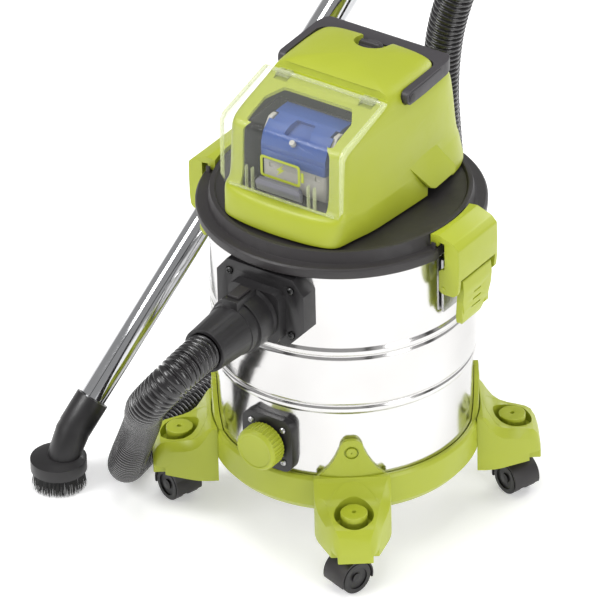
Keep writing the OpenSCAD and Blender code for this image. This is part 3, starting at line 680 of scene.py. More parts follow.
def smooth_path(route, steps):
    """Points along the smooth curve that passes through every point of a route."""
    result = []
    for i in range(len(route) - 1):
        a, b, c, d = (Vector(route[min(max(k, 0), len(route) - 1)]) for k in (i - 1, i, i + 1, i + 2))
        for k in range(steps):
            t = k / steps
            result.append(0.5 * (2 * b + (c - a) * t + (2 * a - 5 * b + 4 * c - d) * t * t
                                 + (3 * b - a - 3 * c + d) * t * t * t))
    return result + [Vector(route[-1])]


def path_length(path):
    return sum((b - a).length for a, b in zip(path, path[1:]))


class Grower(Tree):
    """A geometry node tree with named number inputs, run on one object as a modifier."""

    def __init__(self, name, **numbers):
        group = bpy.data.node_groups.new(name, "GeometryNodeTree")
        super().__init__(group)
        group.interface.new_socket("Geometry", in_out="INPUT", socket_type="NodeSocketGeometry")
        self.sockets = {}
        for key in numbers:
            made = group.interface.new_socket(key, in_out="INPUT", socket_type="NodeSocketFloat")
            self.sockets[key] = made.identifier
        group.interface.new_socket("Geometry", in_out="OUTPUT", socket_type="NodeSocketGeometry")
        self.numbers = numbers
        entry = group.nodes.new("NodeGroupInput")
        self.start = Wire(group, entry.outputs[0])
        self.inputs = {key: Wire(group, entry.outputs[key]) for key in numbers}

    def grown(self, piece, shape, slot):
        """Ends the tree, runs it on a piece and returns the result as a plain mesh."""
        real = self.node("GeometryNodeRealizeInstances", values={"Geometry": shape})
        painted = self.node("GeometryNodeSetMaterial",
                            values={"Geometry": real, "Material": finishes()[slot]})
        leave = self.tree.nodes.new("NodeGroupOutput")
        attach(self.tree, leave.inputs[0], painted)
        made = piece.modifiers.new("grow", "NODES")
        made.node_group = self.tree
        for key, value in self.numbers.items():
            made[self.sockets[key]] = float(value)
        if piece.type == "MESH":
            return baked(piece)
        bpy.context.view_layer.update()
        graph = bpy.context.evaluated_depsgraph_get()
        mesh = bpy.data.meshes.new_from_object(piece.evaluated_get(graph))
        name = piece.name
        bpy.data.objects.remove(piece)
        result = bpy.data.objects.new(name, mesh)
        bpy.context.scene.collection.objects.link(result)
        return result


def line_curve(name, points):
    """A poly curve through points in metres."""
    data = bpy.data.curves.new(name, "CURVE")
    data.dimensions = "3D"
    spline = data.splines.new("POLY")
    spline.points.add(len(points) - 1)
    for entry, p in zip(spline.points, points):
        entry.co = (*p, 1.0)
    made = bpy.data.objects.new(name, data)
    bpy.context.scene.collection.objects.link(made)
    return made


def ribbed_tube(name, path, radius, pitch, depth, slot):
    """A corrugated tube along a path: round ribs with a narrow groove between them."""
    grow = Grower(f"{name} ribs", radius=radius, pitch=pitch, depth=depth)
    size = grow.inputs
    line = grow.node("GeometryNodeResampleCurve", {"mode": "LENGTH"}, {
        "Curve": grow.start, "Length": size["pitch"] / 9})
    along = grow.node("GeometryNodeSplineParameter", out=1)
    wave = along.sum_of("COSINE", along * math.tau / size["pitch"])
    groove = wave.sum_of("POWER", wave * 0.5 + 0.5, 3.0)
    wide = grow.node("GeometryNodeSetCurveRadius", values={
        "Curve": line, "Radius": size["radius"] - size["depth"] * groove})
    ring = grow.node("GeometryNodeCurvePrimitiveCircle", values={"Resolution": 28, "Radius": 1.0})
    skin = grow.node("GeometryNodeCurveToMesh",
                     values={"Curve": wide, "Profile Curve": ring, "Fill Caps": True})
    if "Scale" in skin.socket.node.inputs:
        attach(grow.tree, skin.socket.node.inputs["Scale"], size["radius"] - size["depth"] * groove)
    return grow.grown(line_curve(name, path), skin, slot)


class VACUUM_OT_hose(bpy.types.Operator):
    """Run the corrugated hose from its cuff round the drum and up to the wand's grip"""

    bl_idname = "vacuum.hose"
    bl_label = "Hose"

    def execute(self, context):
        sizes = context.scene.vacuum_sizes
        path = smooth_path(HOSE_ROUTE, 24)
        hose = ribbed_tube("corrugated_hose", path, sizes.hose_radius * MM, sizes.hose_pitch * MM, 0.0034,
                           "hose_plastic")
        shown(hose, "hose_plastic", "frame", ["hose"], smooth=180)
        path_length(path)
        return {"FINISHED"}


# ---------------------------------------------------------------- head

# Half outlines of the head from its front middle round to its back middle, as (x, y), at rising heights. The
# crown above them repeats the last one, each time smaller, as (scale, height)
HEAD_FOOT = ((0, -131), (40, -129), (68, -123), (76, -115), (79.5, -90), (87, -68), (90, -24), (96, 28),
             (96, 78), (88, 112), (72, 134), (38, 146), (0, 150))
HEAD_LEVELS = (
    (400.6, HEAD_FOOT),
    (402.4, HEAD_FOOT),
    (430.0, ((0, -126), (40, -124), (71, -119), (78.5, -111), (80.5, -87), (88.5, -66), (91, -23), (88, 28),
             (88, 78), (84, 110), (68, 130), (37, 142), (0, 145))),
    (436.0, ((0, -121), (40, -120), (72, -116), (79, -108), (80.5, -85), (88.5, -64), (91, -22), (86, 28),
             (87, 78), (83, 109), (67, 129), (36, 140), (0, 143))),
    (438.5, ((0, -111), (40, -110.5), (70, -109), (77, -104), (80, -84), (88, -62), (90, -22), (85, 30),
             (86, 78), (82, 108), (66, 128), (36, 139), (0, 142))),
    (452.0, ((0, -104.5), (40, -104.5), (71, -104.5), (76.5, -101), (79, -81), (85.5, -58), (88, -22),
             (83, 30), (85, 78), (81, 107), (65, 126), (36, 137), (0, 140))),
    (480.0, ((0, -104), (40, -104), (71, -104), (76, -100), (77.5, -77), (81, -54), (84, -20), (86, 34),
             (87, 78), (80, 106), (63, 123), (35, 131), (0, 134))),
    (500.0, ((0, -103), (40, -103), (70, -103), (75.5, -99), (76.5, -76), (79, -54), (81, -18), (85, 40),
             (86, 80), (79, 105), (62, 118), (35, 126), (0, 128))),
    (513.0, ((0, -101), (40, -101), (70, -101), (75, -97), (75.8, -74), (77.5, -52), (79, -18), (84, 44),
             (86, 82), (78, 104), (61, 112), (35, 119), (0, 121))),
    (522.0, ((0, -70), (40, -70), (69, -70), (74.5, -66), (75, -56), (76.3, -44), (78, -18), (82, 44),
             (84, 82), (76, 102), (60, 107), (35, 111), (0, 112))),
    (534.0, ((0, -25), (40, -25), (68, -25), (73.5, -22), (74.5, -18), (75.8, -12), (77, 0), (79, 44),
             (79, 78), (72, 93), (58, 98), (35, 100), (0, 101))),
    (541.5, ((0, -19), (38, -19), (64, -19), (70.5, -16), (72, -11), (73.2, -5), (74, 8), (75, 44), (74, 70),
             (67, 81), (54, 86), (32, 88), (0, 89))),
)
ARCH_LINE = ((22, 390), (84, 390), (76, 412), (68, 422), (44, 428), (32, 414))
CROWN = ((0.86, 546.5), (0.62, 550.5), (0.34, 553.0), (0.10, 554.0))


def head_ring(half, z, scale=1.0, inset=0.0, pivot=30.0):
    """A whole outline at one height, drawn in towards the head's middle."""
    ring = [(x, y) for x, y in half] + [(-x, y) for x, y in reversed(half[1:-1])]
    ring = [(x * scale, pivot + (y - pivot) * scale) for x, y in ring]
    if inset:
        ring = shrink(ring, None, inset)
    return [(x, y, z) for x, y in ring]


def head_form(name, inset=0.0):
    """The head's skin as a smooth closed form, drawn in by inset for its inside."""
    rings = [head_ring(half, z - (inset if z > 430 else 0.0), 1.0, inset) for z, half in HEAD_LEVELS]
    top = HEAD_LEVELS[-1][1]
    rings += [head_ring(top, z - inset, scale, inset * scale) for scale, z in CROWN]
    if inset:
        rings[0] = [(x, y, 396.0) for x, y, z in rings[0]]
    form = loft(name, rings)
    made = form.modifiers.new("smooth", "SUBSURF")
    made.levels = made.render_levels = 2
    return baked(form)


def wing(name, side):
    """The hood over the exhaust: a flared plate with rounded corners, rooted in the head's side."""
    line = [(4, 449), (12, 452), (56, 452), (63, 447), (78, 420), (76, 413), (34, 411.5), (27, 415)]
    outline = filleted(line, 5)
    root, top, flare = 83.6, 452, 0.43
    outer = [(root + (top - z) * flare, y, z) for y, z in outline]
    under = [(x - 4.2, y, z) for x, y, z in outer]
    rounded = [(x - 1.0, y, z) for x, y, z in outer]
    middle = Vector((42, 432))
    lip = [(x + 0.2, middle.x + (y - middle.x) * 0.97, middle.y + (z - middle.y) * 0.955) for x, y,
           z in outer]
    piece = loft(name, [under, rounded, lip])
    return on_side(piece, side)


def bar_bed(name, front, floor, half):
    """The space behind the crown that the stowed handle's bar lies in."""
    return prism(name, filleted(rect(front, floor, 120, 590), [3, 0, 0, 0]), -half, half, axis="X")


class VACUUM_OT_head(bpy.types.Operator):
    """Shape the lime head: lip, door seat, crown, exhaust hoods, and the beds of the handle and knob"""

    bl_idname = "vacuum.head"
    bl_label = "Head"

    def execute(self, context):
        head = head_form("head_moulding")
        crown_plan = prism("crown plan", filleted(rect(-75.4, -200, 75.4, 75.4), [0, 0, 14, 14], 6), 500, 600)
        bed_side = filleted([(4.2, 521.6), (24, 521.8), (84, 524.4), (150, 526), (150, 590), (70, 590),
                             (14, 546), (4.2, 543)], [9, 3, 3, 0, 0, 0, 0, 9])
        outer_cuts = [cut(prism("handle bed", bed_side, -110, 110, axis="X"), crown_plan)]
        for side in SIDES.values():
            notch = filleted(rect(side * 55 - 9, -34, side * 55 + 9, -17.2), 2)
            outer_cuts.append(prism("hinge notch", notch, 531, 560))
            arch = prism("arch", filleted(ARCH_LINE, [0, 0, 8, 8, 8, 8]), 72, 120, axis="X")
            outer_cuts.append(on_side(arch, side))
        groove = [(-60, 536.9), (-15.2, 536.9), (-12.8, 544.5), (-60, 560)]
        outer_cuts.append(prism("door groove", groove, -80, 80, axis="X"))
        turns = [math.pi * (1 + k / 16) for k in range(17)]
        oval = [(19.5 * math.cos(a), 62 + 18 * math.sin(a)) for a in turns]
        outer_cuts.append(prism("knob bed", oval + [(19.5, 90), (-19.5, 90)], 541.0, 580))
        cut(head, *outer_cuts)
        joined(head, wing("wing", 1), wing("wing", -1))
        softened(head, 0.9, angle=38, clean=0.12)
        guards = [prism("arm guard", rect(-2, 517.5, 120, 580), *sorted((s * 71.5, s * 120)),
                        axis="X") for s in (-1, 1)]
        hollow = cut(head_form("hollow", 3.0), bar_bed("bar guard", 68.5, 522.5, 99), *guards,
                     prism("knob bed", rect(-24, 40, 24, 92), 537.0, 580),
                     prism("rail bed", rect(-85, -38, 85, -9), 527.0, 580))
        window = filleted([(-56.5, 437), (56.5, 437), (56.5, 505), (40, 522), (-40, 522), (-56.5, 505)],
                          [3, 3, 8, 6, 6, 8])
        roof = filleted([(-56.5, -96), (56.5, -96), (56.5, -60), (44, -40), (-44, -40), (-56.5, -60)],
                        [4, 4, 8, 6, 6, 8])
        cut(head, hollow, prism("window", window, -140, -40, axis="Y"), prism("roof", roof, 470, 560))
        shown(head, "lime_plastic", "frame", ["head_shell"], smooth=40)
        return {"FINISHED"}


# ---------------------------------------------------------------- battery door

DOOR_LINE = ((-25.5, 540.8), (-31, 540.2), (-106, 521.0), (-112, 515.0), (-113.5, 438.0))


def door_line(step_out):
    """The door's fold as a closed thin outline in Y and Z, its outer face moved out by step_out."""
    out = step_out * 0.7
    outer = filleted([(y - out, z + out) for y, z in DOOR_LINE], [0, 2, 9, 9, 0], 5, closed=False)
    inner = filleted([(y + 2.0, z - 2.0) for y, z in DOOR_LINE], [0, 2, 7, 7, 0], 5, closed=False)
    return outer + inner[::-1]


class VACUUM_OT_door(bpy.types.Operator):
    """Fold the clear battery door and add its frosted border, knuckles, ribs and catch"""

    bl_idname = "vacuum.door"
    bl_label = "Battery door"

    def execute(self, context):
        pane = prism("door_pane", door_line(0.4), -75.8, 75.8, axis="X")
        clipped = [prism("corner", [(s * 79.5, 430), (s * 79.5, 446), (s * 68, 430)], -130, -100, axis="Y")
                   for s in (-1, 1)]
        cut(pane, *clipped)
        shown(pane, "clear_plastic", "door", ["battery_door"], smooth=30)
        edges = []
        for s in (-1, 1):
            edge = prism("door edge", door_line(0.9), 75.6, 79.0, axis="X", edge=0.6)
            flange = [(-26, 541), (-31, 541), (-106, 522), (-113, 515.5), (-114.2, 446), (-111, 446),
                      (-106.5, 508), (-101, 513.5), (-31, 535), (-26, 538)]
            skirt = prism("door skirt", filleted(flange, [0, 2, 7, 7, 1, 1, 5, 5, 2, 0]), 77.0, 79.4,
                          axis="X")
            for part in (edge, skirt):
                cut(part, prism("corner", [(80.5, 428), (80.5, 449), (66, 428)], -130, -95, axis="Y"))
                edges.append(on_side(part, s))
            for x in (50.3, 59.7):
                edges.append(rod("knuckle", 4.2, s * x - 3.6, s * x + 3.6, DOOR_HINGE, "X", 0.8, 24))
            link = filleted([(-31, 535), (-23, 535), (-23, 540), (-31, 540.6)], 1)
            edges.append(prism("link", link, *sorted((s * 47, s * 63)), axis="X"))
            for x in (36.5, 44.5):
                rib = filleted(rect(s * x - 0.9, 441, s * x + 0.9, 469), 0.6)
                edges.append(prism("door rib", rib, -116.6, -112.5, axis="Y"))
        sill = filleted(rect(-114.6, 437.5, -112.2, 440.5), 0.7)
        edges.append(prism("door sill", sill, -68, 68, axis="X"))
        rail = filleted(rect(-30, 538.4, -25.6, 541.8), 0.8)
        edges.append(prism("door rail", rail, -75.8, 75.8, axis="X"))
        border = merged("door_border", edges)
        shown(border, "clear_plastic", "door", finish="frosted_edge", smooth=30)
        print_face = []
        frame_line = filleted(rect(-26, 463, 26, 489), 4)
        outer = prism("sign", frame_line, -114.3, -113.9, axis="Y")
        inner = prism("hole", filleted(rect(-23, 466, 23, 486), 2.5), -116, -112, axis="Y")
        print_face.append(cut(outer, inner))
        print_face.append(prism("terminal", filleted(rect(27, 470, 30.5, 482), 1), -114.3, -113.9, axis="Y"))
        bolt = [(-5, 468.5), (5.5, 478), (0.6, 478), (5, 484.5), (-5.5, 475.5), (-0.6, 475.5)]
        print_face.append(prism("bolt", bolt, -114.3, -113.9, axis="Y"))
        shown(merged("door_sign", print_face), "lime_plastic", "door", smooth=30)
        catch = prism("door_catch_moulding",
                      filleted([(-29, 446), (29, 446), (29, 458), (26, 462), (-26, 462),
                                                       (-29, 458)], 1.5), -120.5, -113.8, axis="Y", edge=0.8)
        bevel = prism("slope", [(-121.5, 445), (-116.5, 445), (-120.7, 456.5), (-121.5, 457)], -40, 40,
                      axis="X")
        cut(catch, bevel)
        shown(softened(catch, 0.5), "grey_plastic", "door", ["door_catch"], finish="catch_grey", smooth=35)
        return {"FINISHED"}


# ---------------------------------------------------------------- battery


class VACUUM_OT_battery(bpy.types.Operator):
    """Shape the battery pack: stepped blue shell, pale case with its joint line, and its buttons"""

    bl_idname = "vacuum.battery"
    bl_label = "Battery"

    def execute(self, context):
        line = filleted([(-89.5, 470.2), (-90, 486), (-85, 499), (-74, 508), (-58, 511.8), (-36.2, 511.8),
                         (-36.2, 470.2)], [2, 5, 8, 10, 8, 3, 0], 5)
        shell = prism("battery_blue", line, -42.0, 42.0, axis="X")
        skirt = prism("skirt", filleted(rect(-42.9, -91, 42.9, -36.5), 5), 468.6, 480.5)
        joined(shell, skirt)
        recess = prism("recess", filleted([(-17, 2), (17, 2), (12, 24), (-12, 24)], 3), -6, 8)
        tilt = Matrix.Translation(Vector((0, -84.5, 499.5)) * MM) @ Matrix.Rotation(math.radians(28), 4, "X")
        moved(recess, matrix=tilt)
        seats = [prism("seat", filleted([(-82, 486), (-80, 500), (-70, 511), (-58, 511), (-48, 486)], 3),
                       36.9, 60, axis="X") for _ in (0, 1)]
        flipped(seats[1])
        well = rod("well", 3.5, 2.6, 20, segments=32)
        lean = Matrix.Translation(Vector((0, -86, 492)) * MM) @ Matrix.Rotation(math.radians(35), 4, "X")
        moved(well, matrix=lean)
        cut(shell, recess, well, *seats)
        shown(softened(shell, 1.4, angle=35), "blue_plastic", "battery", ["battery_shell"], smooth=35)
        case = prism("battery_pale", filleted(rect(-42, -88, 42, -36.5), 5), 434.2, 468.4, edge=2.0)
        notches = [prism("notch", filleted(rect(x - 3, 458, x + 3, 464), 1), -95, -86.5,
                         axis="Y") for x in (-30, 30)]
        foot = prism("foot", filleted([(-16, 430), (16, 430), (12, 441), (-12, 441)], 2), -95, -85.5,
                     axis="Y")
        cut(case, *notches, foot)
        shown(softened(case, 0.5), "light_plastic", "battery", ["battery_case"], smooth=35)
        for word, side in SIDES.items():
            wedge = filleted([(-80.5, 487.2), (-78.5, 499), (-69.5, 509.5), (-60, 509.5), (-49.6, 487.2)], 3)
            button = prism(f"battery_button_{word}", wedge, 39.8, 45.6, axis="X", edge=1.2)
            grips = [prism("grip", [(-74 + 4 * k, 491), (-73 + 4 * k, 491), (-71.4 + 3.4 * k, 503),
                                    (-72.4 + 3.4 * k, 503)], 45.2, 47, axis="X") for k in range(5)]
            cut(button, *grips)
            shown(on_side(button, side), "light_plastic", f"release_{word}",
                  [f"battery_release_{word}"], smooth=35)
        return {"FINISHED"}


# ---------------------------------------------------------------- handle and knob


# The arm's side view, round about its pivot, and how far each corner is rounded
ARM_LINE = ((5.4, 522.8), (5.4, 539.8), (40, 540.6), (78, 542.0), (101, 542.6), (101, 529.5), (84, 526.4),
            (40, 523.4))
ARM_BENDS = (8.2, 8.2, 10, 10, 7, 6, 8, 8)


class VACUUM_OT_handle(bpy.types.Operator):
    """Shape the folding handle with its flat arms and pivots, and the ridged switch knob"""

    bl_idname = "vacuum.handle"
    bl_label = "Handle and knob"

    def execute(self, context):
        plan = prism("plan", filleted(rect(-85, 0, 85, 101), [0, 0, 22, 22], 8), 510, 560)
        cut(plan, prism("span", filleted(rect(-76.4, -9, 76.4, 77), [0, 0, 14, 14], 8), 500, 570))
        handle = kept(prism("handle_moulding", filleted(ARM_LINE, ARM_BENDS, 6), -90, 90, axis="X"), plan)
        panel = filleted([(8.2, 525.2), (8.2, 537.4), (40, 538.2), (73, 539.8), (73, 527.6), (40, 525.6)],
                         [5.9, 5.9, 8, 5, 5, 8], 5)
        joined(handle, *(prism("panel", panel, *sorted((s * 84, s * 85.9)), axis="X") for s in (-1, 1)))
        cut(handle, *(rod("dish", 2.0, -30, 30, (82 + 5 * k, 544.4 + 0.5 * k), "X") for k in range(4)))
        shown(softened(handle, 1.1, angle=32), "grey_plastic", "bail", ["carry_handle"], smooth=38)
        caps = [rod("pivot cap", 4.6, *sorted((s * 85.8, s * 86.5)), PIVOT, "X", 0.25, 40) for s in (-1, 1)]
        caps += [rod("pivot pin", 2.4, *sorted((s * 64, s * 76.3)), PIVOT, "X", 0.3, 24) for s in (-1, 1)]
        shown(merged("pivot_caps", caps), "charcoal_plastic", "frame", ["handle_pivots"], smooth=35)
        dial = filleted([(0, 541.4), (14.4, 541.4), (14.6, 544.6), (13.2, 547.2), (0, 547.6)],
                        [0, 0.6, 1.2, 1.5, 0])
        disc = lathe("switch_knob_moulding", dial, KNOB_AXIS)
        ridge = prism("ridge", filleted([(-3.4, 545), (-2.2, 552.2), (2.2, 552.2), (3.4, 545)],
                                        [0, 1.6, 1.6, 0]), -14.2, 14.2, axis="X")
        moved(ridge, shift=(*KNOB_AXIS, 0))
        dome = filleted([(0, 540), (14.2, 540), (13.6, 549), (11, 553), (0, 554)], [0, 1, 3, 3, 0])
        ends = lathe("ridge ends", dome, KNOB_AXIS)
        joined(disc, kept(ridge, ends))
        neck = rod("neck", 6.0, 533, 542, KNOB_AXIS)
        joined(disc, neck)
        shown(softened(disc, 0.5), "grey_plastic", "knob", ["switch_knob"], smooth=38)
        return {"FINISHED"}


# ---------------------------------------------------------------- drum, base ring, ports and their screws


class VACUUM_OT_drum(bpy.types.Operator):
    """Roll the stainless drum with its beads, its wider band and its rim"""

    bl_idname = "vacuum.drum"
    bl_label = "Drum"

    def execute(self, context):
        size = context.scene.vacuum_sizes
        wall, low, band = size.wall_radius, size.low_radius, size.band_radius
        lower, upper = size.low_bead, size.high_bead
        outer = [(0, 72), (low - 4, 72), (low, 76), (low, lower - 6), (low + 4.5, lower - 2.2),
                 (low + 4.5, lower + 2.2),
                 (low + 2.6, lower + 5), (band - 0.8, lower + 9), (band, (lower + upper) / 2),
                 (band - 0.8, upper - 9),
                 (wall - 0.4, upper - 5), (wall + 2.2, upper - 2.2), (wall + 2.2, upper + 2.2),
                 (wall, upper + 6), (wall, 384)]
        round_by = [0, 4, 4, 3, 2.6, 2.6, 2, 6, 60, 6, 2, 2.6, 2.6, 3, 0.3]
        skin = filleted(outer, round_by, 6, closed=False)
        inside = [(max(0.0, r - 1.0), max(h, 73.0)) for r, h in reversed(skin)]
        drum = lathe("drum_sheet", [(max(r, 0.01), h) for r, h in skin + inside], segments=200)
        shown(drum, "stainless_steel", "frame", ["drum"], smooth=25)
        return {"FINISHED"}


class VACUUM_OT_base(bpy.types.Operator):
    """Mould the base ring with its four gussets, their plugs and the drum's ledge"""

    bl_idname = "vacuum.base"
    bl_label = "Base ring"

    def execute(self, context):
        line = filleted([(132, 68), (142, 68), (150, 78), (150, 110), (147.8, 114), (143.6, 114),
                         (143.4, 71.8), (132, 71.8)], [0, 4, 5, 3, 1.5, 0.5, 0, 0], 4)
        ring = lathe("base_ring_moulding", line, segments=160)
        flare = [(-46, 98), (-45, 106), (-36, 117), (-27, 126), (-20, 137), (-14.5, 149), (-12.4, 157),
                 (-7, 164),
                 (7, 164), (12.4, 157), (14.5, 149), (20, 137), (27, 126), (36, 117), (45, 106), (46, 98)]
        bends = [0, 2, 8, 14, 14, 10, 8, 8, 8, 8, 10, 14, 14, 8, 2, 0]
        for angle in LEG_ANGLES.values():
            gusset = prism("gusset", filleted(flare, bends), 130, 149.4, axis="X")
            core = lathe("core", rect(120, 90, 143.5, 180), segments=160)
            rim = lathe("rim", rect(148.6, 90, 170, 180), segments=160)
            cut(gusset, core, rim, rod("recess", 8.0, 146.4, 160, (0, 148), "X"))
            joined(ring, moved(gusset, angle))
        softened(ring, 0.8, angle=32)
        plugs = []
        for angle in LEG_ANGLES.values():
            plug = rod("plug", 6.0, 144.5, 149.2, (0, 148), "X", 1.0, 40)
            cut(plug, rod("pit", 0.9, 148.2, 150, (0, 148), "X", segments=20))
            plugs.append(moved(plug, angle))
        shown(merged("base_ring_skin", [ring, *plugs]), "lime_plastic", "frame", ["base_ring"], smooth=38)
        return {"FINISHED"}


def cross_head(name, radius, height):
    """A pan head with a cross recess, standing on its base along +Z, centred on the origin."""
    head = lathe(name, filleted([(0.01, -0.2), (radius, -0.2), (radius, height * 0.45),
                                 (radius * 0.62, height),
                                 (0.01, height)], [0, 0.2, 0.9, 0.8, 0]), segments=32)
    bars = [prism("bar", rect(-a, -b, a, b), height * 0.45, height + 1)
            for a, b in ((radius * 0.55, radius * 0.12), (radius * 0.12, radius * 0.55))]
    return cut(head, *bars)


def copies(name, pattern, places, slot, turn=(0.0, 0.0, 0.0)):
    """Stands a copy of a pattern at each place in millimetres, all turned the same way."""
    grow = Grower(f"{name} copies", turn_x=turn[0], turn_y=turn[1], turn_z=turn[2])
    shape = grow.node("GeometryNodeObjectInfo", {"transform_space": "ORIGINAL"}, {"Object": pattern}, out=4)
    way = grow.node("ShaderNodeCombineXYZ", values={"X": grow.inputs["turn_x"], "Y": grow.inputs["turn_y"],
                                                     "Z": grow.inputs["turn_z"]})
    spots = grow.node("GeometryNodeInstanceOnPoints", values={"Points": grow.start, "Instance": shape,
                                                              "Rotation": way})
    made = grow.grown(solid(name, places, []), spots, slot)
    bpy.data.objects.remove(pattern)
    return made


class VACUUM_OT_screws(bpy.types.Operator):
    """Drive the screws of the inlet, the drain and the legs"""

    bl_idname = "vacuum.screws"
    bl_label = "Screws"

    def execute(self, context):
        size = context.scene.vacuum_sizes
        inlet = [(x, -157.2, size.inlet_height + 6 + z) for x in (-40, 40) for z in (-28, 28)]
        drain = [(x, -151.2, size.drain_height + z) for x in (-21, 21) for z in (-21, 21)]
        upright = (math.pi / 2, 0.0, 0.0)
        dark = copies("inlet_screws", cross_head("pan head", 4.2, 2.4), inlet, "blackened_steel", upright)
        shown(dark, "steel", "frame", finish="blackened_steel", smooth=40)
        heads = copies("port_screws", cross_head("pan head", 3.6, 2.2), drain, "steel", upright)
        shanks = [moved(rod("shank", 2.1, 141.5, 153.5, (0, 90), "X", 0.2, 20),
                        a) for a in LEG_ANGLES.values()]
        shown(merged("screw_set", [heads, *shanks]), "steel", "frame", ["screws"], smooth=40)
        return {"FINISHED"}


class VACUUM_OT_drain(bpy.types.Operator):
    """Mould the knurled drain cap"""

    bl_idname = "vacuum.drain"
    bl_label = "Drain cap"

    def execute(self, context):
        height = context.scene.vacuum_sizes.drain_height
        line = filleted([(17.5, -154.2), (24.6, -154.2), (25.0, -172.5), (22.4, -176.2), (20.4, -176.2),
                         (19.6, -175.4), (0.01, -175.8), (0.01, -171.0), (17.5, -171.0)],
                        [0, 0.8, 2.6, 1.0, 0.6, 0.8, 0, 0, 0.5])
        cap = lathe("drain_cap_moulding", line, (0, height), "Y", 120)
        ribs = []
        for k in range(34):
            a = math.tau * k / 34
            ribs.append((24.5 * math.cos(a), 0, height + 24.5 * math.sin(a)))
        knurl = copies("knurl", rod("rib", 1.35, -172.6, -155.0, (0, 0), "Y", 0.7, 14), ribs, "lime_plastic")
        shown(merged("drain_cap_skin", [cap, knurl]), "lime_plastic", "cap", ["drain_cap"], smooth=38)
        return {"FINISHED"}


# ---------------------------------------------------------------- legs

# Sections of a leg outwards from the ring: distance, half width, the top's half width, height, the top's drop
LEG_SECTIONS = (
    (144, 42.0, 41.0, 118.0, 1.5), (151, 42.4, 40.6, 117.4, 2.5), (155, 42.4, 37.6, 113.6, 4.5),
    (160, 42.0, 34.6, 106.6, 6.0), (166, 41.0, 31.8, 99.6, 7.0), (173, 39.0, 29.0, 95.4, 8.0),
    (182, 35.4, 27.0, 92.8, 9.0), (192, 31.2, 25.2, 91.2, 10.0), (202, 27.0, 23.2, 89.4, 11.0),
    (208, 24.6, 21.2, 86.6, 12.0), (212.5, 22.4, 18.0, 80.0, 12.0), (215.6, 20.0, 15.4, 70.0, 9.0),
    (216.8, 18.6, 14.2, 62.0, 6.0))


def leg_skin(name, inset=0.0, bottom=48.0):
    """The leg's outer form, or with an inset the hollow under it."""
    rings = []
    for x, wide, top, height, drop in LEG_SECTIONS:
        w, t, h = wide - inset, top - inset * 0.8, height - inset * 1.2
        half = [(w, bottom), (w, (bottom + h - drop) / 2), (w, h - drop), (t, h)]
        ring = half + [(-y, z) for y, z in reversed(half)]
        rings.append([(x - inset * (x > 200), y, z) for y, z in ring])
    return loft(name, rings)


def leg_moulding():
    """One leg along +X: a hollow shell with its post in a round recess and its caster's socket."""
    hollow = leg_skin("hollow", 2.6, 40.0)
    cut(hollow, rod("boss", 24.5, 72, 130, POST_AXIS, segments=96), rod("socket", 9, 40, 90, STEM_AXIS),
        prism("nose", rect(201, -60, 230, 60), 30, 130))
    leg = leg_skin("leg")
    recess = rod("recess", 21.8, 76, 130, POST_AXIS, segments=96)
    cut(recess, rod("post", 15.0, 60, 96, POST_AXIS, segments=96))
    arc = lathe("arc", rect(31.6, 80, 32.8, 130), POST_AXIS, segments=128)
    film = cut(moved(leg_skin("film"), shift=(0, 0, 0.3)), moved(leg_skin("lower"), shift=(0, 0, -0.8)))
    kept(arc, film, prism("inner half", rect(153, -60, 172, 60), 60, 140))
    steps = [prism("step", filleted(((203.5, s * 19.6), (230, s * 19.6), (230, s * 40), (203.5, s * 40)),
                                    0.8),
                   40, 57.5) for s in (-1, 1)]
    cut(leg, hollow, recess, rod("ring seat", 150.15, 40, 140, segments=200), *steps,
        rod("stem bore", 4.1, 40, 69, STEM_AXIS))
    softened(leg, 1.3, angle=30, clean=0.1)
    post = rod("post", 15.0, 74, 96, POST_AXIS, edge=1.2, segments=96)
    cut(post, rod("pit", 2.5, 86, 100, POST_AXIS, segments=32))
    return merged("leg", [leg, softened(post, 0.3), arc])


class VACUUM_OT_legs(bpy.types.Operator):
    """Mould the four legs with their accessory posts"""

    bl_idname = "vacuum.legs"
    bl_label = "Legs"

    def execute(self, context):
        pattern = leg_moulding()
        for corner, angle in LEG_ANGLES.items():
            leg = bpy.data.objects.new(f"leg_{corner}_moulding", pattern.data.copy())
            context.scene.collection.objects.link(leg)
            shown(moved(leg, angle), "lime_plastic", "frame", [f"leg_{corner}"], smooth=38)
        bpy.data.objects.remove(pattern)
        return {"FINISHED"}


# ---------------------------------------------------------------- latches

HOOD_LINE = ((141, 404.5), (153, 406), (171, 400), (178, 393), (178.4, 372), (178, 353.8), (175, 353.8),
             (174.8, 390), (171, 394.2), (152, 398.2), (151.6, 391.8), (141, 391.8))
CHEEK_LINE = ((160, 397), (171, 399.4), (177.6, 392.6), (178, 352), (176.5, 338), (171, 333.4), (156, 333.4),
              (152.4, 337), (152.4, 361), (156, 364), (160, 364))
PAD_LINE = ((170, 350), (176.6, 350), (178, 336), (175.2, 308), (169, 289), (164.5, 283.6), (161, 285.6),
            (166, 303), (169, 330))
LEVER_LINE = ((150.4, 359.4), (152.3, 361.8), (156, 362), (163, 352), (175, 346), (174, 300), (167, 292),
              (166, 302), (168, 328), (161, 333), (150.4, 352))


